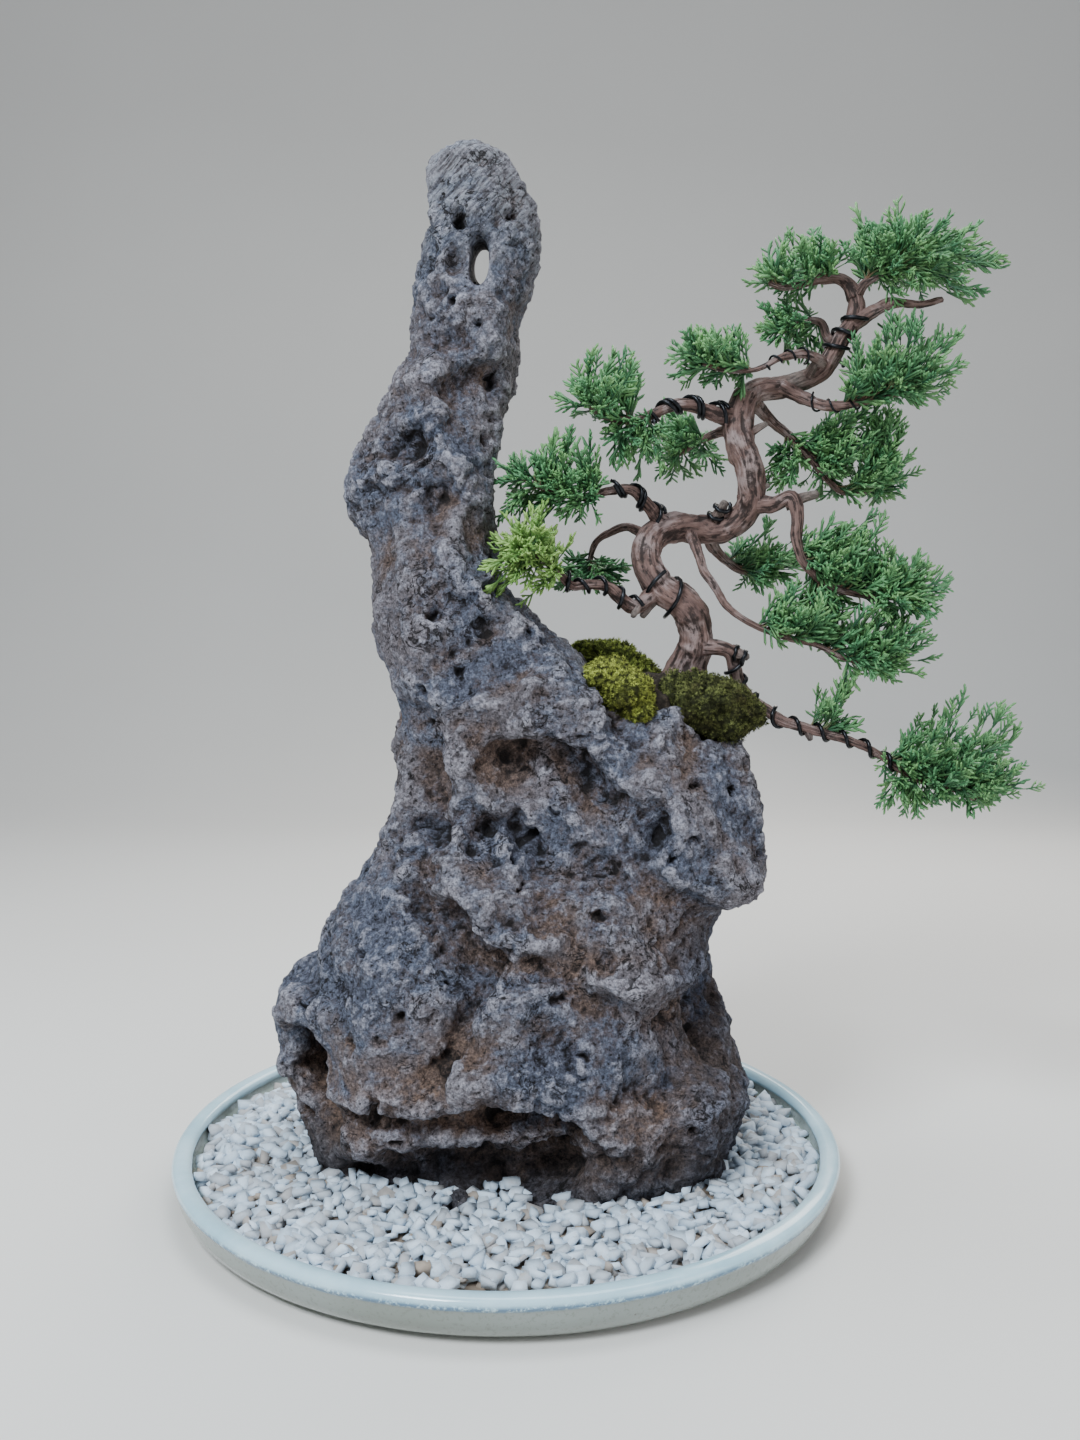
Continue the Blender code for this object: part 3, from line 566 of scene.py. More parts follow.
def working_copy(node):
    """A merged, selected copy of a CAD node, to be worked on with operators."""
    made = frame["nodes"][node].copy()
    made.data = made.data.copy()
    made.parent = None
    made.hide_render = made.hide_viewport = False
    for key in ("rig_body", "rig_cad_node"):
        if key in made:
            del made[key]
    bpy.context.scene.collection.objects.link(made)
    edit_all(made, ("remove_doubles", {"threshold": 0.00002}))
    return made


def join_ball(made, place, radius, subdivisions, scale=(1.0, 1.0, 1.0)):
    """Add a ball, or an egg shape, to a mesh."""
    bpy.ops.mesh.primitive_ico_sphere_add(subdivisions=subdivisions, radius=radius, location=place)
    ball = bpy.context.object
    ball.scale = scale
    select_only(ball)
    bpy.ops.object.transform_apply(location=True, rotation=True, scale=True)
    made.select_set(True)
    bpy.context.view_layer.objects.active = made
    bpy.ops.object.join()


def modify(made, kind, **settings):
    """Add a modifier with its settings and apply it."""
    bpy.context.view_layer.objects.active = made
    bpy.ops.object.modifier_add(type=kind)
    modifier = made.modifiers[-1]
    for name, value in settings.items():
        setattr(modifier, name, value)
    bpy.ops.object.modifier_apply(modifier=modifier.name)


def texture(kind, size, **settings):
    made = bpy.data.textures.new(f"{kind.lower()}_{size * 1000:.1f}", kind)
    made.noise_scale = size
    for name, value in settings.items():
        setattr(made, name, value)
    return made


def displace(made, pattern, strength, level=0.5):
    """Push the surface out by a pattern, nought where the pattern is at level."""
    modify(made, "DISPLACE", texture=pattern, texture_coords="LOCAL", strength=strength, mid_level=level)


def points_of(mesh, what="co"):
    values = np.empty(len(mesh.vertices) * 3, np.float32)
    mesh.vertices.foreach_get(what, values)
    return values.reshape(-1, 3).astype(float)


def normals_of(mesh):
    return points_of(mesh, "normal")


def set_points(mesh, co):
    mesh.vertices.foreach_set("co", co.astype(np.float32).reshape(-1))
    mesh.update()


def smoothed(mesh, values, rounds):
    """Values on the points after so many rounds of averaging over neighbours."""
    ends = np.empty(len(mesh.edges) * 2, np.int32)
    mesh.edges.foreach_get("vertices", ends)
    a, b = ends.reshape(-1, 2).T
    count = np.bincount(a, minlength=len(values)) + np.bincount(b, minlength=len(values))
    out = values.copy()
    for _ in range(rounds):
        total = np.stack([np.bincount(a, out[:, k][b], len(out)) + np.bincount(b, out[:, k][a], len(out))
                          for k in range(out.shape[1])], axis=1)
        out = 0.4 * out + 0.6 * total / np.maximum(count, 1)[:, None]
    return out


def lengths_along(route):
    """The length of the route up to each of its points."""
    return np.concatenate([[0], np.cumsum(np.linalg.norm(np.diff(route, axis=0), axis=1))])


def curve_through(points, spacing):
    """Evenly spaced points on a smooth curve through the given ones, and how far through them each is."""
    ends = [2 * points[0] - points[1], *points, 2 * points[-1] - points[-2]]
    route = []
    for a, b, c, d in zip(ends, ends[1:], ends[2:], ends[3:]):
        for i in range(12):
            t = i / 12
            route.append(0.5 * (2 * b + (c - a) * t + (2 * a - 5 * b + 4 * c - d) * t * t
                                + (3 * b - a - 3 * c + d) * t ** 3))
    route = np.array([*route, points[-1]])
    length = lengths_along(route)
    count = max(3, int(round(length[-1] / spacing)) + 1)
    wanted = np.linspace(0, length[-1], count)
    index = np.interp(wanted, length, np.arange(len(route)))
    even = np.stack([np.interp(wanted, length, route[:, k]) for k in range(3)], axis=1)
    return even, index / (len(route) - 1)


def steady_frames(route):
    """Tangent, normal and side at each point of a route, turned as little as possible."""
    tangent = np.gradient(route, axis=0)
    tangent /= np.linalg.norm(tangent, axis=1)[:, None]
    normal = np.array(Vector(tangent[0]).orthogonal().normalized())
    normals = []
    for t in tangent:
        normal = normal - t * normal.dot(t)
        normal /= np.linalg.norm(normal)
        normals.append(normal)
    normals = np.array(normals)
    return tangent, normals, np.cross(tangent, normals)


def ring_way(normal, side, angle):
    """The direction at an angle round a route."""
    return math.cos(angle) * normal + math.sin(angle) * side


def seat_points(places):
    return [SEAT + Vector(place) * MM for place in places]


def straight_route(start, end):
    """Evenly spaced points along a straight line between two places given from the seat."""
    first, last = seat_points((start, end))
    return curve_through([first, first.lerp(last, 0.5), last], STUB_SPACING)[0]


# ---------------------------------------------------------------- rock

# Below this height the rock would pass through the floor of the tray
FLOOR_OF_TRAY = 0.0063
COARSE_VOXEL, FINE_VOXEL = 0.0024, 0.0019

# Features of the front in millimetres: points of (x, height), half width, how far out (or in)
ROCK_FEATURES = (
    # ridges and ledges
    (((6, 125), (-1, 110), (-9, 97), (-16, 88), (-17, 78)), 4, 4.0),
    (((-44, 157), (-34, 155), (-10, 150), (-9, 138), (5, 133), (24, 132)), 6, 4.5),
    (((101, 138), (92, 118), (77, 110), (59, 115), (41, 120)), 7, 5.0),
    (((-78, 62), (-55, 65), (-29, 67), (-9, 77), (8, 70), (28, 63), (46, 54), (52, 44)), 6, 4.5),
    (((-69, 40), (-38, 44), (-16, 48)), 6, 3.0),
    (((-105, 96), (-88, 95), (-79, 86), (-78, 63)), 5, 4.0),
    (((-68, 124), (-56, 115)), 24, 5.0),
    (((64, 139), (62, 133)), 18, 4.0),
    (((-21, 351), (-22, 334), (-27, 315), (-25, 298)), 6, 3.5),
    (((-71, 343), (-51, 349), (-33, 354)), 5, 3.5),
    (((-22, 298), (1, 281), (27, 258), (41, 238)), 8, 3.0),
    (((-52, 247), (-24, 241), (2, 240), (22, 248)), 6, 2.5),
    (((-6, 222), (7, 228), (27, 225), (44, 214), (58, 204)), 6, 4.0),
    (((-24, 215), (-23, 192), (-20, 177)), 6, 4.0),
    (((-20, 179), (-9, 189), (7, 191), (17, 182)), 4, 3.0),
    (((-48, 387), (-31, 394), (-14, 404)), 6, 3.0),
    (((-63, 364), (-49, 370), (-30, 374)), 6, 3.0),
    (((25, 105), (43, 81), (61, 79)), 9, 3.0),
    # hollows
    (((-3, 124), (-15, 103), (-23, 84)), 8, -5.5),
    (((-36, 148), (-21, 144), (-15, 127)), 9, -7.0),
    (((12, 127), (24, 126)), 7, -4.0),
    (((97, 98), (84, 95), (85, 78)), 14, -8.0),
    (((-3, 58), (12, 61), (28, 54)), 7, -7.0),
    (((-76, 16), (-46, 25), (-21, 31), (5, 28), (24, 31)), 10, -11.0),
    (((-89, 75), (-91, 63)), 10, -16.0),
    (((62, 69), (70, 67)), 8, -6.0),
    (((-85, 107), (-69, 111)), 5, -3.0),
    (((-30, 339), (-34, 327)), 8, -4.0),
    (((-51, 364), (-44, 360)), 10, -4.0),
    (((-20, 288), (-9, 277)), 9, -5.0),
    (((1, 218), (22, 217), (38, 207)), 9, -6.0),
    (((-36, 211), (-33, 198), (-31, 183)), 9, -7.0),
    (((54, 234), (58, 224), (63, 216)), 7, -5.0),
    (((69, 192), (67, 178)), 6, -5.5),
    (((-9, 184), (1, 187), (14, 179)), 6, -7.0),
    (((25, 170), (44, 165), (62, 169)), 12, -4.0),
    (((-17, 394), (-7, 397)), 5, -4.5),
    (((-41, 407), (-26, 411)), 7, -3.0),
)
# Single pits in the front: x, height, half width, half height, depth
ROCK_PITS = (
    (-21, 466, 2.4, 5.5, 8), (4, 469, 1.8, 2.4, 4), (-58, 60, 2.6, 6.0, 9), (24, 41, 4.5, 2.6, 9),
    (-32, 281, 4.2, 2.2, 7), (-5, 294, 3.4, 2.4, 6), (106, 200, 2.6, 2.2, 7), (116, 212, 2.2, 2.2, 6),
    (88, 203, 2.4, 1.8, 6), (6, 172, 3.0, 3.2, 8), (-10, 364, 1.8, 2.4, 5), (-8, 393, 2.4, 3.0, 6),
    (36, 85, 1.8, 1.8, 4), (24, 111, 1.8, 1.8, 4), (-46, 103, 3.4, 1.6, 4), (-69, 89, 1.8, 1.8, 4),
    (44, 146, 2.6, 2.0, 5), (9, 159, 3.0, 1.8, 5), (-94, 100, 2.6, 1.6, 5), (-64, 128, 2.2, 1.4, 3),
    (85, 50, 1.8, 2.6, 5), (13, 179, 2.8, 2.0, 6), (20, 211, 2.0, 1.8, 4), (-16, 246, 2.0, 1.6, 4),
    (-22, 254, 2.0, 2.2, 5), (-39, 246, 2.4, 2.6, 5), (-53, 231, 1.6, 3.0, 4), (22, 189, 2.2, 1.6, 4),
    (45, 196, 2.4, 2.0, 5), (76, 170, 2.2, 2.4, 5), (88, 179, 2.4, 2.0, 5), (-6, 374, 1.8, 1.6, 4),
    (16, 380, 1.8, 2.6, 4), (-13, 416, 2.0, 2.0, 4), (-25, 427, 1.6, 2.6, 4), (61, 103, 2.4, 1.8, 5),
    (51, 246, 2.0, 1.6, 4), (19, 269, 2.2, 1.6, 4), (-16, 269, 2.4, 1.8, 5), (-48, 44, 2.4, 1.6, 4),
)

# Holes that weather has worn: the window through the spire, the cave in the left foot, a low gap,
# two recesses beside the window and a notch under the left lump. Place and half sizes in
# millimetres, tilts about X and Y in radians
ROCK_HOLES = (
    ((-12, 0, 449), (4.8, 90, 9.0), (0.27, 0.08)), ((-88, -42, 70), (8.0, 22, 14.0), (0.0, -0.25)),
    ((-70, -74, 21), (7.0, 8, 4.0), (0.0, 0.1)), ((-22, -26, 446), (6.0, 9, 9.0), (0.0, 0.5)),
    ((-2, -26, 444), (6.5, 9, 7.0), (0.0, -0.4)), ((-106, -36, 46), (17, 34, 4.6), (0.0, 0.12)),
)

# Lumps of the left foot, on either side of the cave: place and radius in millimetres
ROCK_LUMPS = (((-101, -34, 90), 8.0), ((-101, -33, 66), 9.5), ((-96, -40, 100), 8.0))


def wandered(co, fineness, reach):
    """Places of the front in millimetres, (x, height), each moved a little by a slow noise."""
    wander = np.array([noise.noise_vector(Vector(place) * fineness)[:] for place in co])
    return co[:, [0, 2]] * 1000 + wander[:, [0, 2]] * reach


def feature_relief(co, normal):
    """How far the named ridges and hollows push the rock's front out, in metres."""
    flat = wandered(co, 90, 3.5)
    front = np.clip(-normal[:, 1] * 1.4, 0, 1)
    push = np.zeros(len(co))
    for points, width, height in ROCK_FEATURES:
        nearest = np.full(len(co), 1e9)
        for a, b in zip(np.array(points, float), np.array(points, float)[1:]):
            span = b - a
            along = np.clip(((flat - a) @ span) / (span @ span), 0, 1)
            nearest = np.minimum(nearest, np.linalg.norm(flat - a - along[:, None] * span, axis=1))
        push += height * np.exp(-((nearest / width) ** 2))
    return 1.5 * push * front * MM


def pit_relief(co, normal):
    """How far the single pits go in, in metres."""
    flat = wandered(co, 260, 2.6)
    front = np.clip(-normal[:, 1] * 1.8, 0, 1)
    push = np.zeros(len(co))
    for x, z, wide, tall, depth in ROCK_PITS:
        push -= depth * np.exp(-(((flat[:, 0] - x) / wide) ** 4 + ((flat[:, 1] - z) / tall) ** 4))
    return push * front * MM


def tree_of(places):
    tree = kdtree.KDTree(len(places))
    for i, place in enumerate(places):
        tree.insert(place, i)
    tree.balance()
    return tree


def scattered_pits(mesh, chance):
    """A few small pits anywhere on the rock."""
    co, no = points_of(mesh), normals_of(mesh)
    tree = tree_of(co)
    push = np.zeros(len(co))
    for _ in range(26):
        centre = chance.randrange(len(co))
        radius = chance.choice((0.0014, 0.0016, 0.0020, 0.0026)) * chance.uniform(0.9, 1.2)
        depth = radius * chance.uniform(0.9, 1.7)
        stretch = Vector([chance.uniform(0.6, 1.4) for _ in range(3)])
        for _, i, _ in tree.find_range(co[centre], radius * 1.9):
            reach = (Vector(co[i] - co[centre]) * stretch).length / radius
            push[i] = min(push[i], -depth * math.exp(-(reach ** 4)))
    set_points(mesh, co + no * push[:, None])


def evened(values, height):
    """Values moved and scaled to spread evenly round nought, height being their usual size."""
    values = np.asarray(values)
    return np.clip((values - values.mean()) / values.std(), -2.2, 2.2) * height * MM


def ridges(co, reach, slant, stretch, seed):
    """Ridges about reach millimetres apart, slanted and drawn out upwards, bent by a slower noise."""
    rows = []
    for x, y, z in co * 1000 / reach:
        place = Vector((x + slant * z + seed, y, z * stretch))
        place += noise.noise_vector(place * 0.6) * 0.7
        rows.append(noise.ridged_multi_fractal(place, 0.9, 2.1, 1, 1.0, 1.6))
    return rows


def crevices(co, reach, seed):
    """Thin wandering clefts, nought away from them and -1 along their middle, and only in some places."""
    rows = []
    for x, y, z in co * 1000 / reach:
        place = Vector((x + seed, y, z * 1.5 - x * 0.5))
        place += noise.noise_vector(place * 1.6) * 0.40
        line = noise.noise(place)
        where = noise.noise(place * 0.40 + Vector((7, seed, 3)))
        rows.append(-math.exp(-((line / 0.13) ** 2)) * min(1.0, max(0.0, (where + 0.02) * 5)))
    return np.array(rows)


def crumbs(co, reach, octaves):
    """Crumbling lumps at each point, the largest some reach millimetres apart."""
    return [noise.fractal(Vector(place), 0.6, 2.2, octaves) for place in co * 1000 / reach]


def window_share(co):
    """Nought beside the window through the spire and 1 away from it."""
    away = np.hypot((co[:, 0] + 0.012) / 0.0080, (co[:, 2] - 0.449 - co[:, 1] * 0.28) / 0.0125)
    return np.clip((away - 0.8) / 1.2, 0, 1)


def push_out(rock, *amounts):
    """Move the points along their normals by the sum of the amounts, but not beside the window."""
    mesh = rock.data
    co, no = points_of(mesh), normals_of(mesh)
    total = sum(amount(co, no) for amount in amounts) * window_share(co)
    co = co + no * total[:, None]
    co[:, 2] = np.maximum(co[:, 2], FLOOR_OF_TRAY)
    set_points(mesh, co)


def head_swell(co, no):
    """The spire widens again into a blunt head."""
    return 3.4 * np.exp(-(((co[:, 2] - 0.466) / 0.030) ** 2)) * (1 - 0.6 * np.abs(no[:, 1])) * MM


def cut_hole(rock, place, half, tilt):
    """Cut an egg-shaped hole."""
    bpy.ops.mesh.primitive_ico_sphere_add(subdivisions=4, radius=1.0, location=Vector(place) * MM)
    cutter = bpy.context.object
    cutter.scale = Vector(half) * MM
    cutter.rotation_euler = (*tilt, 0.0)
    modify(rock, "BOOLEAN", object=cutter, solver="EXACT")
    bpy.data.objects.remove(cutter, do_unlink=True)


def make_rock():
    """The CAD rock with its lumps, ridges, holes, clefts, crumbs and pits, from coarse to fine."""
    rock = working_copy("rock")
    for place, radius in ROCK_LUMPS:
        join_ball(rock, Vector(place) * MM, radius * MM, 3)
    modify(rock, "SUBSURF", levels=2, render_levels=2)
    modify(rock, "REMESH", mode="VOXEL", voxel_size=COARSE_VOXEL)
    modify(rock, "SMOOTH", factor=0.5, iterations=3)
    push_out(rock, feature_relief, head_swell,
             lambda co, no: evened(ridges(co, 52, 0.25, 0.6, 3.0), 2.0) + 1.4 * MM)
    for place, half, tilt in ROCK_HOLES:
        cut_hole(rock, place, half, tilt)
    modify(rock, "REMESH", mode="VOXEL", voxel_size=FINE_VOXEL)
    push_out(rock, pit_relief, lambda co, no: evened(ridges(co, 24, 0.45, 0.7, 9.0), 0.65),
             lambda co, no: crevices(co, 17, 4.0) * 2.2 * MM)
    push_out(rock, lambda co, no: evened(crumbs(co, 10, 3), 0.55),
             lambda co, no: crevices(co, 8, 2.0) * 0.9 * MM, lambda co, no: evened(crumbs(co, 3.4, 2), 0.30))
    mesh = rock.data
    scattered_pits(mesh, random.Random(11))
    co, no = points_of(mesh), normals_of(mesh)
    for label, rounds, scale in (("fine", 10, 0.0008), ("broad", 110, 0.0030)):
        mark_points(mesh, **{label: ((co - smoothed(mesh, co, rounds)) * no).sum(axis=1) / scale})
    mesh.shade_smooth()
    piece("rock_weathered", rock, rock_finish(), "rock", "rock")


# ---------------------------------------------------------------- tray and crushed stone

# Section of the tray: radius and height, for an outer radius and a height of these sizes
TRAY_RADIUS, TRAY_HEIGHT = 0.1650, 0.022
TRAY_SECTION = (
    (0.0, 0.0), (0.1490, 0.0), (0.1520, 0.0004), (0.1560, 0.0018), (0.1596, 0.0046), (0.1622, 0.0085),
    (0.1634, 0.0125), (0.1636, 0.0160), (0.1640, 0.0168), (0.1648, 0.0176), (0.1650, 0.0186),
    (0.1646, 0.0202), (0.1634, 0.0214), (0.1616, 0.0220), (0.1592, 0.0220), (0.1572, 0.0216),
    (0.1559, 0.0206), (0.1553, 0.0190), (0.1556, 0.0176), (0.1564, 0.0168), (0.1558, 0.0150),
    (0.1535, 0.0105), (0.1500, 0.0065), (0.1480, 0.0060), (0.0, 0.0060),
)
RIM_DEPTH = 0.0052


def make_tray():
    """Turn the section into the tray and let its surface waver a little."""
    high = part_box("tray")[1]
    across = high.x / TRAY_RADIUS
    section = [(radius * across, 0, height * high.z / TRAY_HEIGHT) for radius, height in TRAY_SECTION]
    mesh = bpy.data.meshes.new("turned_tray")
    mesh.from_pydata(section, [(i, i + 1) for i in range(len(section) - 1)], [])
    tray = placed("turned_tray", mesh)
    edit_all(tray, ("spin", {"steps": 180, "angle": 2 * math.pi, "center": (0, 0, 0), "axis": (0, 0, 1)}),
             ("remove_doubles", {"threshold": 0.00005}), ("normals_make_consistent", {"inside": False}))
    modify(tray, "SUBSURF", levels=1, render_levels=1)
    displace(tray, texture("CLOUDS", 0.060), 0.0007)
    tray.data.shade_smooth()
    piece("glazed_tray", tray, glaze_finish(high.z - RIM_DEPTH), "glaze", "tray")


def chip_shape(chance):
    """One sharp chip of crushed stone: the hull of a flat block with its corners knocked about."""
    shape = bmesh.new()
    long, wide, thick = 1.0, chance.uniform(0.50, 0.85), chance.uniform(0.28, 0.50)
    for x in (-long, long):
        for y in (-wide, wide):
            for z in (-thick, thick):
                keep = [chance.uniform(0.45, 1.0) for _ in range(3)]
                shape.verts.new((x * keep[0], y * keep[1], z * keep[2]))
    bmesh.ops.convex_hull(shape, input=shape.verts)
    loose = [v for v in shape.verts if not v.link_faces]
    bmesh.ops.delete(shape, geom=loose, context="VERTS")
    bmesh.ops.triangulate(shape, faces=shape.faces)
    bmesh.ops.recalc_face_normals(shape, faces=shape.faces)
    shape.verts.index_update()
    points = np.array([v.co[:] for v in shape.verts])
    faces = np.array([[v.index for v in face.verts] for face in shape.faces])
    shape.free()
    return points, faces


class Scatter:
    """Turned, sized and placed copies of a few shapes, gathered into one mesh."""

    def __init__(self, shapes):
        self.shapes = shapes
        self.copies = []

    def add(self, pick, turn, size, place, tone):
        self.copies.append((self.shapes[pick], np.asarray(turn), size, place, tone))

    def mesh(self, name, smooth=True):
        points, faces, labels, total = [], [], {"shade": [], "tip": []}, 0
        for (own, own_faces, *tips), turn, size, place, tone in self.copies:
            points.append(own @ turn.T * size + place)
            faces.append(own_faces + total)
            labels["shade"].append(np.full(len(own), tone))
            labels["tip"] += tips
            total += len(own)
        labels = {label: np.concatenate(values) for label, values in labels.items() if values}
        return mesh_of(name, np.concatenate(points), np.concatenate(faces), smooth, **labels)


# Layers of chips from the bottom: spacing, how far below the top, least and most half length,
# how much they lean, and their range of tones; the low tones of the lower layers are painted shade in the
# gaps
CHIP_LAYERS = (
    (0.0066, 0.0036, 0.0040, 0.0050, 0.28, (0.00, 0.35)),
    (0.0063, 0.0006, 0.0036, 0.0056, 0.40, (0.18, 1.00)),
    (0.0110, -0.0010, 0.0036, 0.0054, 0.28, (0.30, 1.00)),
)
CHIP_SINK = 0.0022
# The bed under the chips takes the darkest brown tone, as painted shade.
BED_SINK, BED_SHADE_TONE = 0.0045, 0.03


def chip_rows(chance, radius, top):
    """Places, half lengths and layers of the chips, on the bed but not under the rock."""
    co = points_of(bpy.data.objects["rock_weathered"].data)
    near = co[(co[:, 2] > 0.012) & (co[:, 2] < 0.019)]
    foot = tree_of([(x, y, 0) for x, y, z in near])
    middle = near.mean(axis=0)
    rows = []
    for layer in CHIP_LAYERS:
        pitch, drop, least, most = layer[:4]
        steps = int(radius / pitch) + 1
        for i in range(-steps, steps + 1):
            for j in range(-steps, steps + 1):
                x = (i + 0.5 * (j % 2)) * pitch + chance.uniform(-0.4, 0.4) * pitch
                y = j * pitch * 0.87 + chance.uniform(-0.4, 0.4) * pitch
                away = math.hypot(x, y)
                if away > radius - CHIP_SINK:
                    continue
                nearest, _, gap = foot.find((x, y, 0))
                out = (nearest - Vector((middle[0], middle[1], 0))).length
                if out > math.hypot(x - middle[0], y - middle[1]) and gap > 0.0005:
                    continue
                heap = 0.0015 * math.exp(-((gap / 0.016) ** 2))
                heap += 0.0012 * noise.noise((x * 40, y * 40, 3.0))
                sink = CHIP_SINK * max(0.0, (away - radius + 0.018) / 0.018)
                z = top - CHIP_SINK - drop + heap - sink + chance.uniform(-0.0007, 0.0007)
                rows.append((np.array((x, y, z)), chance.uniform(least, most), layer))
    return rows


def make_gravel():
    """Loose chips, and the CAD bed under them, sunk out of sight."""
    chance = random.Random(5)
    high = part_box("gravel_bed")[1]
    chips = Scatter([chip_shape(chance) for _ in range(14)])
    rows = chip_rows(chance, high.x, high.z)
    picks = [chance.randrange(len(chips.shapes)) for _ in rows]
    for pick, (place, size, layer) in zip(picks, rows):
        lean, tones = layer[4:]
        tilt = Matrix.Rotation(chance.gauss(0, lean), 3, "X")
        tilt = tilt @ Matrix.Rotation(chance.gauss(0, lean), 3, "Y")
        turn = Matrix.Rotation(chance.uniform(0, 2 * math.pi), 3, "Z") @ tilt
        chips.add(pick, turn, size, place, chance.uniform(*tones))
    stone = chip_finish()
    piece("crushed_stone", chips.mesh("chips", False), stone, "stone_chips", "gravel_bed")
    bed = working_copy("gravel_bed")
    bed.location = (0, 0, 0)
    co = points_of(bed.data)
    co[:, 2] = np.where(co[:, 2] > 0.010, co[:, 2] - BED_SINK, co[:, 2])
    set_points(bed.data, co)
    mark_points(bed.data, shade=BED_SHADE_TONE)
    piece("crushed_stone_bed", bed, stone, "stone_chips")


# ---------------------------------------------------------------- wood

def wood_sweep(route, radii, sides, seed, relief, grey=None):
    """A bark-covered limb: points, faces, uv and marks along a route, thicker and thinner by its fibres."""
    tangent, normal, side = steady_frames(route)
    step = lengths_along(route)
    points, raised, old, uv = [], [], [], []
    for k, centre in enumerate(route):
        for i in range(sides):
            angle = 2 * math.pi * i / sides
            twist = angle + step[k] * 22
            c, s = math.cos(twist), math.sin(twist)
            far = step[k] * 1000
            lobes = noise.noise((c * 0.9 + seed, s * 0.9, far * 0.035))
            cords = noise.noise((c * 2.6, s * 2.6 + seed, far * 0.06))
            flakes = noise.noise((c * 5.0, s * 5.0 + seed, far * 0.22))
            knots = noise.noise((c * 1.2 + seed * 2, s * 1.2, far * 0.13))
            mark = cords * 0.9 + flakes * 0.7
            bumps = 0.17 * lobes + 0.07 * cords + 0.10 * flakes + 0.22 * max(0.0, knots - 0.1)
            swell = 1 + relief * bumps
            points.append(centre + ring_way(normal[k], side[k], angle) * radii[k] * swell)
            raised.append(mark)
            old.append(grey[k] if grey is not None else 0.0)
            uv.append((i / sides, far * 0.02))
    faces = []
    for k in range(len(route) - 1):
        for i in range(sides):
            j = (i + 1) % sides
            faces.append((k * sides + i, k * sides + j, (k + 1) * sides + j, (k + 1) * sides + i))
    points.append(route[0])
    points.append(route[-1] + tangent[-1] * radii[-1] * 0.5)
    raised += [0, 0]
    old += [old[0], old[-1]]
    uv += [(0, 0), (0, uv[-1][1])]
    first, last = len(points) - 2, len(points) - 1
    base = (len(route) - 1) * sides
    for i in range(sides):
        j = (i + 1) % sides
        faces.append((first, j, i))
        faces.append((last, base + i, base + j))
    return points, faces, uv, raised, old


def wood_mesh(name, parts):
    """One mesh of several limbs, with their marks and a UV map along the fibres."""
    points, faces, uv, raised, old = [], [], [], [], []
    for own, own_faces, *marks in parts:
        add_faces(points, faces, own, own_faces)
        for whole, mark in zip((uv, raised, old), marks):
            whole += mark
    mesh = mesh_of(name, np.array(points), faces, True, raised=raised, old=old)
    corner = np.empty(len(mesh.loops), np.int32)
    mesh.loops.foreach_get("vertex_index", corner)
    layer = mesh.uv_layers.new(name="wood")
    layer.data.foreach_set("uv", np.array(uv, np.float32)[corner].reshape(-1))
    return mesh


def limb_route(name):
    """Evenly spaced centre points of the trunk or a branch, and its radius at each."""
    if name == "trunk":
        places, girths = zip(*TRUNK)
        route, share = curve_through(seat_points(places), 0.0008)
        radii = np.interp(share * (len(girths) - 1), range(len(girths)), girths) * TRUNK_WIDTH / 2 * MM
        return route, radii, share
    places, root, end = BRANCHES[name]
    route, share = curve_through(seat_points(places), BRANCH_SPACING)
    radii = (root + (end - root) * share ** 0.8) / 2 * MM
    return route, radii * (1 + 0.30 * np.exp(-((lengths_along(route) / 0.011) ** 2))), share


# Roots that show at the foot of the trunk: how far they run out, in millimetres
ROOTS = ((-9, -5), (-12, 3), (6, -7), (8, 4), (-3, 9), (1, -9))


def make_wood():
    """The trunk with its stubs and roots, and each branch."""
    bark = bark_finish()
    route, radii, share = limb_route("trunk")
    dead = np.clip(1 - np.abs(share - 0.78) / 0.035, 0, 1) * 0.8
    parts = [wood_sweep(route, radii, 56, 3.1, 1.0, dead)]
    for number, (start, end, width) in enumerate(STUBS):
        way = straight_route(start, end)
        taper = np.linspace(1.25, 0.62, len(way)) * width / 2 * MM
        parts.append(wood_sweep(way, taper, 18, 7.0 + number, 1.3, np.linspace(0.1, 0.95, len(way))))
    for number, (x, y) in enumerate(ROOTS):
        places = seat_points([(x * out, y * out, z) for out, z in ((0.1, 9), (0.55, 3), (1, -1), (1.35, -5))])
        way = curve_through(places, 0.0010)[0]
        parts.append(wood_sweep(way, np.linspace(4.6, 1.6, len(way)) * MM, 18, 20.0 + number, 1.0))
    piece("trunk_wood", wood_mesh("trunk_wood", parts), bark, "bark", "trunk")
    for number, name in enumerate(BRANCHES):
        route, radii = limb_route(name)[:2]
        mesh = wood_mesh("wood_" + name, [wood_sweep(route, radii, 20, 40.0 + number * 3.7, 1.7)])
        node = ["branch_" + name] if "branch_" + name in frame["nodes"] else []
        piece("wood_" + name, mesh, bark, "bark", *node)


def wire_curve(name, places, width):
    """A round wire through the places."""
    curve = bpy.data.curves.new(name, "CURVE")
    curve.dimensions = "3D"
    curve.bevel_depth = width / 2 * MM
    curve.bevel_resolution = 3
    curve.use_fill_caps = True
    spline = curve.splines.new("POLY")
    spline.points.add(len(places) - 1)
    for slot, place in zip(spline.points, places):
        slot.co = (*place, 1.0)
    return placed(name, curve)


# Short wire coils round two pruned stubs: root and end from the seat, radius, turns, width
STUB_COILS = {
    "stub_coil_top": ((12, 3, 77), (17, -4, 84), 3.6, 2.0, 2.0),
    "stub_coil_side": ((21, -9, 12), (27, -11, 8), 3.4, 1.6, 2.0),
}


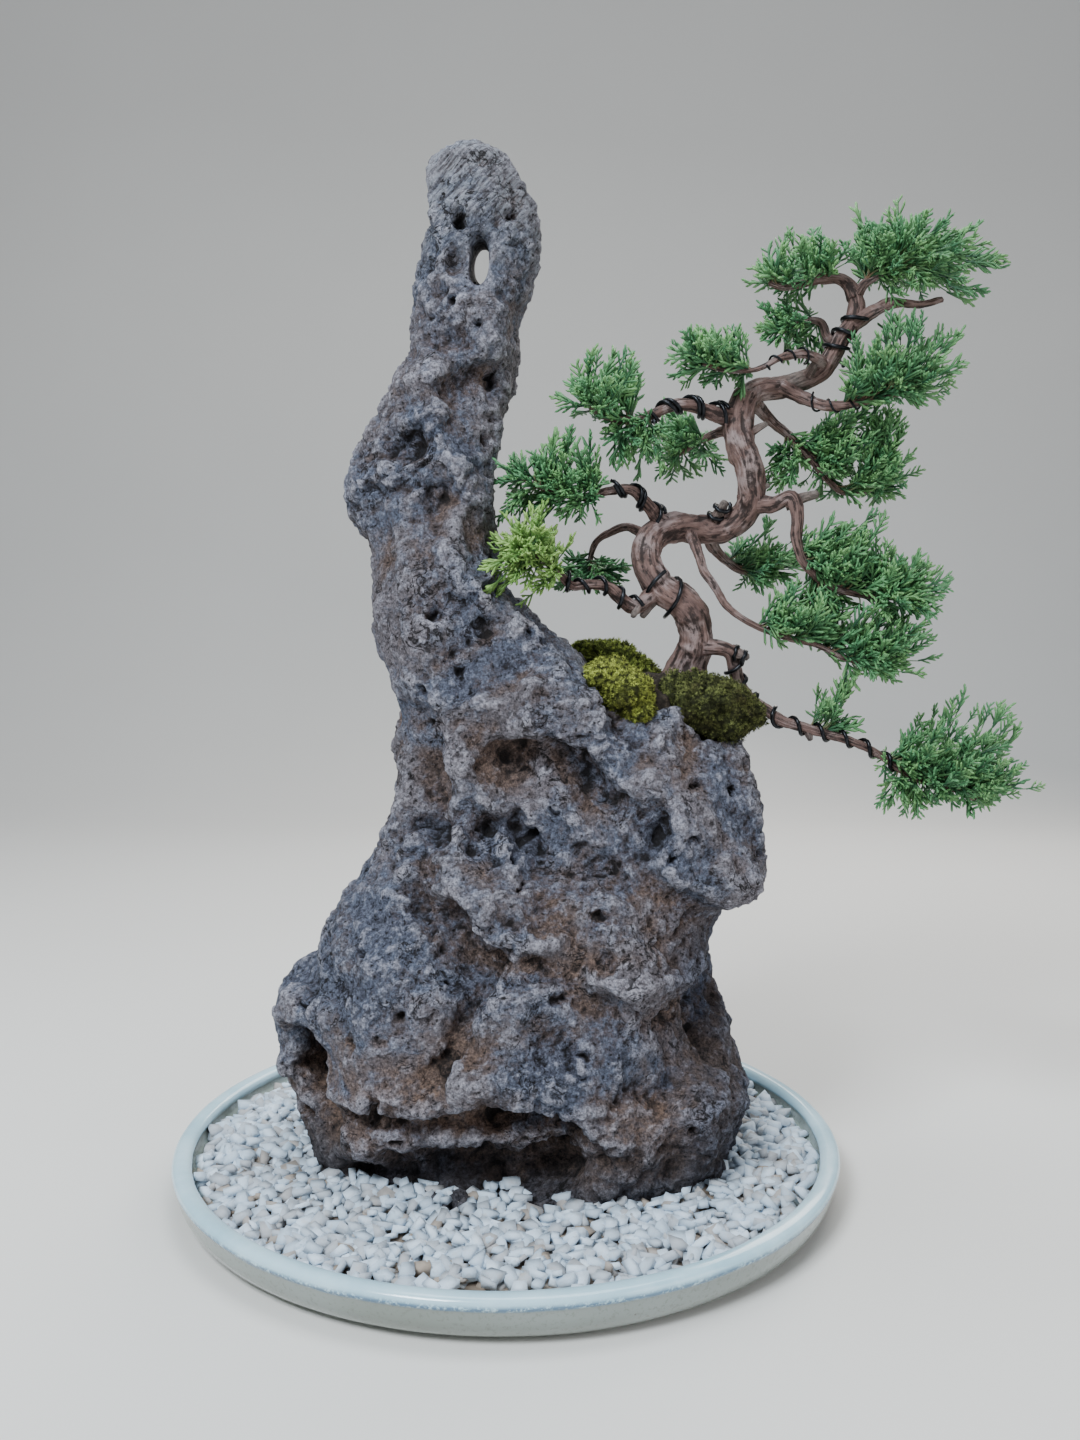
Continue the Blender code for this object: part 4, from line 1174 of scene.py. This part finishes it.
def make_wires():
    """The coils round two stubs, and each wire wound along its limb with its ends lifted."""
    black = wire_finish()
    for name, (start, end, reach, turns, width) in STUB_COILS.items():
        route = straight_route(start, end)
        _, normal, side = steady_frames(route)
        places = []
        for i, spot in enumerate(np.linspace(0, len(route) - 1, int(turns * 18) + 1)):
            k = int(round(spot))
            places.append(route[k] + reach * MM * ring_way(normal[k], side[k], 2 * math.pi * i / 18))
        piece(name, wire_curve(name, places, width), black, "wire")
    for name, (limb, start, end, turns, first, width) in WIRES.items():
        route, radii = limb_route(limb)[:2]
        _, normal, side = steady_frames(route)
        count = int(turns * 16) + 1
        places = []
        for i in range(count):
            along = (start + (end - start) * i / (count - 1)) * (len(route) - 1)
            k = min(int(along), len(route) - 2)
            centre = route[k] + (route[k + 1] - route[k]) * (along - k)
            angle = 2 * math.pi * (first + i / 16)
            lift = 1.6 * max(0.0, 1 - i / 5) + 1.2 * max(0.0, 1 - (count - 1 - i) / 5)
            reach = radii[k] * 1.06 + (width / 2 + 0.15 + lift) * MM
            places.append(centre + reach * ring_way(normal[k], side[k], angle))
        name = "wire_" + name
        piece("wound_" + name, wire_curve("wound_" + name, places, width), black, "wire", name)


# ---------------------------------------------------------------- foliage

TWIG_RADIUS = 0.00065
SPRIG_SPACING = 0.0088


def cord(start, way, length, width, bend):
    """A blunt three-sided leafy cord: a ring at its root, one near its end and a tip."""
    way = way.normalized()
    normal = way.orthogonal().normalized()
    side = way.cross(normal)
    points = []
    for share, girth in ((0.0, 0.80), (0.80, 1.0)):
        centre = start + way * length * share + bend * length * 0.16 * share * share
        for i in range(3):
            points.append(centre + width * girth * ring_way(normal, side, 2 * math.pi * i / 3))
    points.append(start + way * length + bend * length * 0.16)
    faces = [(0, 1, 4), (0, 4, 3), (1, 2, 5), (1, 5, 4), (2, 0, 3), (2, 3, 5),
             (3, 4, 6), (4, 5, 6), (5, 3, 6)]
    return points, faces, (0.0, 0.0, 0.0, 0.75, 0.75, 0.75, 1.0)


def sprig_shape(chance):
    """A leafy side shoot along +Z, one long: a main cord with shorter cords that fork again."""
    points, faces, tips = [], [], []

    def add(start, way, length, width, bend, low):
        own, own_faces, marks = cord(start, way, length, width, bend)
        add_faces(points, faces, own, own_faces)
        tips.extend(low + (1.0 - low) * mark for mark in marks)

    up = Vector((0, 0, 1))
    lean = Vector((chance.gauss(0, 0.2), chance.gauss(0, 0.2), 0))
    add(Vector((0, 0, 0)), up, 1.0, 0.054, lean, 0.0)
    flat = chance.uniform(0, math.pi)
    for i in range(6):
        share = 0.12 + 0.135 * i
        turn = flat + math.pi * i + chance.gauss(0, 0.5)
        out = Vector((math.cos(turn), math.sin(turn), 0))
        way = up + out * chance.uniform(0.62, 1.05)
        length = (0.56 - 0.34 * share) * chance.uniform(0.75, 1.25)
        start = up * share + lean * 0.16 * share * share
        add(start, way, length, 0.050, up, 0.2 + share * 0.3)
        if i in (1, 3):
            fork = way.normalized() * length * 0.45
            aside = way - out * 0.6 + out.cross(up) * chance.choice((-0.5, 0.5))
            add(start + fork, aside, length * 0.5, 0.046, up, 0.4)
    return np.array([p[:] for p in points]), np.array(faces), np.array(tips)


def turned_to(way, spin):
    """A rotation that takes +Z to a direction, after a spin about it."""
    return np.array(Vector(way).to_track_quat("Z", "Y").to_matrix() @ Matrix.Rotation(spin, 3, "Z"))


def twig_tube(route, width):
    """A thin four-sided twig through a few points."""
    _, normal, side = steady_frames(route)
    points, tips = [], []
    for k, centre in enumerate(route):
        radius = width * (1 - 0.55 * k / (len(route) - 1))
        for i in range(4):
            points.append(centre + radius * ring_way(normal[k], side[k], math.pi / 2 * i))
            tips.append(k / (len(route) - 1))
    faces = []
    for k in range(len(route) - 1):
        for i in range(4):
            j = (i + 1) % 4
            a, b, c, d = k * 4 + i, k * 4 + j, (k + 1) * 4 + j, (k + 1) * 4 + i
            faces += [(a, b, c), (a, c, d)]
    last = (len(route) - 1) * 4
    faces += [(last, last + 1, last + 2), (last, last + 2, last + 3), (2, 1, 0), (3, 2, 0)]
    return points, faces, tips


def twigs_to(limb, first, centre, half, count, chance):
    """Curved twigs that leave a branch and spread out to the surface of an egg-shaped space."""
    route, _, share = limb_route(limb)
    spine = route[share >= first]
    heading = np.gradient(spine, axis=0)
    heading /= np.linalg.norm(heading, axis=1)[:, None]
    twigs = []
    while len(twigs) < count:
        ball = np.array([chance.gauss(0, 1) for _ in range(3)])
        ball /= np.linalg.norm(ball)
        if ball[2] < -0.75:
            continue
        target = centre + half * ball * chance.uniform(0.25, 1.05) ** 0.5 * 0.95
        away = np.linalg.norm(spine - target, axis=1)
        k = max(0, int(away.argmin()) - int(away.min() / BRANCH_SPACING * chance.uniform(0.3, 0.7)))
        start = spine[k]
        reach = np.linalg.norm(target - start)
        if reach < 0.006:
            continue
        knee = start + heading[k] * reach * 0.35 + np.array([0, 0, reach * chance.uniform(-0.02, 0.18)])
        t = np.linspace(0, 1, 7)[:, None]
        twigs.append((1 - t) ** 2 * start + 2 * t * (1 - t) * knee + t * t * target)
    return twigs


def pad_twigs(name, chance):
    """The twigs of a pad, with those that bridge it to its neighbours."""
    limb, first, count = PADS[name]
    low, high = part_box("foliage_" + name)
    twigs = twigs_to(limb, first, np.array((low + high) / 2), np.array((high - low) / 2), count, chance)
    for pad, middle, half, extra in BRIDGES:
        if pad == name:
            middle = np.array(SEAT + Vector(middle) * MM)
            twigs += twigs_to(limb, first, middle, np.array(half) * MM, extra, chance)
    return twigs


def leaf_sprigs(sprigs, twig, chance):
    """Set sprigs along a twig of seven points, turning from side to side, with one on its end."""
    count = max(3, int(lengths_along(twig)[-1] / SPRIG_SPACING))
    turn = chance.uniform(0, 2 * math.pi)
    for i in range(count):
        share = 0.30 + 0.70 * i / (count - 1)
        spot = share * 6
        k = min(int(spot), 5)
        way = Vector(twig[k + 1] - twig[k]).normalized()
        turn += math.pi + chance.uniform(-0.8, 0.8)
        across = Matrix.Rotation(turn, 3, way) @ way.orthogonal().normalized()
        spread = 0.0 if i == count - 1 else chance.uniform(0.55, 1.1)
        aim = way + across * spread + Vector((0, 0, 0.18))
        sprigs.add(chance.randrange(len(sprigs.shapes)), turned_to(aim, chance.uniform(0, 6.28)),
                   chance.uniform(0.0105, 0.0175) * (1.10 - 0.22 * share),
                   twig[k] + (twig[k + 1] - twig[k]) * (spot - k), chance.random())


def make_foliage():
    """Leaves and twigs of each pad."""
    chance = random.Random(23)
    shapes = [sprig_shape(chance) for _ in range(12)]
    green, young = leaf_finish("juniper_leaf", False), leaf_finish("young_leaf", True)
    twig_bark = twig_finish()
    for name in PADS:
        sprigs = Scatter(shapes)
        points, faces, tips = [], [], []
        for twig in pad_twigs(name, chance):
            own, own_faces, own_tips = twig_tube(twig, TWIG_RADIUS)
            add_faces(points, faces, own, own_faces)
            tips += own_tips
            leaf_sprigs(sprigs, twig, chance)
        leaf = young if name in BRIGHT_PADS else green
        piece("leaves_" + name, sprigs.mesh("leaves_" + name), leaf, "foliage", "foliage_" + name)
        mesh = mesh_of("twigs_" + name, np.array(points), np.array(faces), tip=tips)
        piece("twigs_" + name, mesh, twig_bark, "bark")


# ---------------------------------------------------------------- moss and soil

# Swells of a mound where it hangs over the rock: centre from the seat, half sizes, in millimetres
MOSS_SWELLS = {
    "moss_left": (((-45, -26, -1), (12, 20, 7)), ((-33, -30, -8), (14, 20, 10)),
                  ((-28, -34, -16), (10, 15, 8))),
}


def tuft_shape(chance):
    """A star of short blades round +Z, one high."""
    points, faces, tips = [], [], []
    for i in range(5):
        angle = 2 * math.pi * i / 5 + chance.uniform(-0.4, 0.4)
        lean = chance.uniform(0.25, 0.75)
        base = len(points)
        out = Vector((math.cos(angle), math.sin(angle), 0))
        side = Vector((-out.y, out.x, 0))
        tip = Vector((0, 0, 1)) * chance.uniform(0.7, 1.1) + out * lean
        points += [side * 0.16, -side * 0.16, out * 0.20, tip]
        faces += [(base, base + 3, base + 1), (base + 1, base + 3, base + 2), (base + 2, base + 3, base)]
        tips += [0, 0, 0, 1]
    return np.array([p[:] for p in points]), np.array(faces), np.array(tips)


def make_moss():
    """Each cushion, and the tufts that cover it."""
    chance = random.Random(31)
    shapes = [tuft_shape(chance) for _ in range(8)]
    finishes = {
        "moss_back": moss_finish("moss_bright", (0.016, 0.026, 0.005), (0.500, 0.600, 0.120), 0.30),
        "moss_left": moss_finish("moss_golden", (0.018, 0.022, 0.004), (0.560, 0.620, 0.120), 0.35),
        "moss_right": moss_finish("moss_olive", (0.010, 0.012, 0.004), (0.210, 0.230, 0.070), 0.65),
    }
    for name, finish in finishes.items():
        cushion = working_copy(name)
        for place, half in MOSS_SWELLS.get(name, ()):
            join_ball(cushion, SEAT + Vector(place) * MM, MM, 4, half)
        modify(cushion, "REMESH", mode="VOXEL", voxel_size=0.0016)
        modify(cushion, "SMOOTH", factor=0.5, iterations=5)
        displace(cushion, texture("CLOUDS", 0.014, noise_depth=1), 0.0060)
        displace(cushion, texture("VORONOI", 0.0055, noise_intensity=1.0), -0.0034, 0.35)
        displace(cushion, texture("CLOUDS", 0.003, noise_depth=2), 0.0022)
        co, no = points_of(cushion.data), normals_of(cushion.data)
        # The cushion under the tufts keeps mostly the dark root colour, as painted shade.
        mark_points(cushion.data, tip=0.12, shade=0.4)
        cushion.data.shade_smooth()
        piece("cushion_" + name, cushion, finish, "moss", name)
        tufts = Scatter(shapes)
        for spot, normal in zip(co, no):
            if normal[2] <= -0.75:
                continue
            for _ in range(2):
                way = Vector(normal) + Vector([chance.gauss(0, 0.35) for _ in range(3)])
                pick, turn = chance.randrange(len(shapes)), turned_to(way, chance.uniform(0, 6.28))
                size = chance.uniform(0.0009, 0.0019)
                stray = np.array([chance.uniform(-0.0009, 0.0009) for _ in range(3)])
                tufts.add(pick, turn, size, spot + stray, chance.random())
        piece("tufts_" + name, tufts.mesh("tufts_" + name), finish, "moss")


def make_soil():
    soil = working_copy("soil")
    modify(soil, "REMESH", mode="VOXEL", voxel_size=0.0014)
    modify(soil, "SMOOTH", factor=0.5, iterations=3)
    displace(soil, texture("CLOUDS", 0.006, noise_depth=4), 0.0050)
    displace(soil, texture("STUCCI", 0.003, turbulence=5.0), 0.0020)
    soil.data.shade_smooth()
    piece("soil_in_shoulder", soil, soil_finish(), "soil", "soil")


# ---------------------------------------------------------------- stage

def make_camera():
    view = bpy.data.cameras.new("camera")
    camera = placed("camera", view)
    camera.location = (0.0163, -0.6126, 0.2754)
    camera.rotation_euler = (math.radians(90 - 4.33), 0, 0)
    view.lens = 30.85
    view.sensor_width = 36.0
    view.clip_start = 0.01
    bpy.context.scene.camera = camera


def soft_light(name, place, aim, size, power, colour):
    """A square lamp that points at aim."""
    lamp = bpy.data.lights.new(name, "AREA")
    lamp.shape = "RECTANGLE"
    lamp.size, lamp.size_y = size
    lamp.energy = power
    lamp.color = colour
    made = placed(name, lamp)
    made.location = place
    made.rotation_euler = (Vector(aim) - Vector(place)).to_track_quat("-Z", "Y").to_euler()


def make_stage():
    """A pale floor that curves up into a wall, four soft lights and a dim sky."""
    rows = [(-2.4, -0.0), (1.1, 0.0)]
    bend = [(1.1 + 0.9 * math.sin(a), 0.9 - 0.9 * math.cos(a)) for a in np.linspace(0.15, math.pi / 2, 12)]
    rows += bend + [(2.0, 2.6)]
    points = [(side * 3.2, y, z) for y, z in rows for side in (-1, 1)]
    faces = [(2 * i, 2 * i + 1, 2 * i + 3, 2 * i + 2) for i in range(len(rows) - 1)]
    mesh = bpy.data.meshes.new("studio_floor")
    mesh.from_pydata(points, [], faces)
    mesh.shade_smooth()
    f = Finish("studio_paper", 0.1)
    grain = f.noise(3, 2, 0.5)
    paper = f.mix(grain, (0.74, 0.71, 0.67), (0.78, 0.75, 0.71))
    mesh.materials.append(f.done(paper, (grain, 0.0, 1.0, 0.05, 0.9)))
    placed("studio_floor", mesh)
    middle = (0.02, 0.0, 0.24)
    soft_light("key", (-0.55, -0.95, 1.25), middle, (0.5, 0.5), 31, (0.84, 0.93, 1.0))
    soft_light("fill", (1.2, -0.9, 0.6), middle, (0.9, 0.9), 6, (0.96, 0.97, 1.0))
    soft_light("overhead", (0.1, 0.15, 1.5), middle, (1.1, 0.8), 16, (0.86, 0.94, 1.0))
    soft_light("rim", (0.5, 1.0, 0.9), middle, (0.8, 0.6), 8, (1.0, 0.95, 0.88))
    world = bpy.data.worlds.new("studio")
    world.use_nodes = True
    sky = world.node_tree.nodes["Background"].inputs
    sky["Color"].default_value = (0.80, 0.87, 0.97, 1.0)
    sky["Strength"].default_value = 0.32
    bpy.context.scene.world = world


make_camera()
make_stage()
make_rock()
make_tray()
make_gravel()
make_soil()
make_moss()
make_wood()
make_wires()
make_foliage()
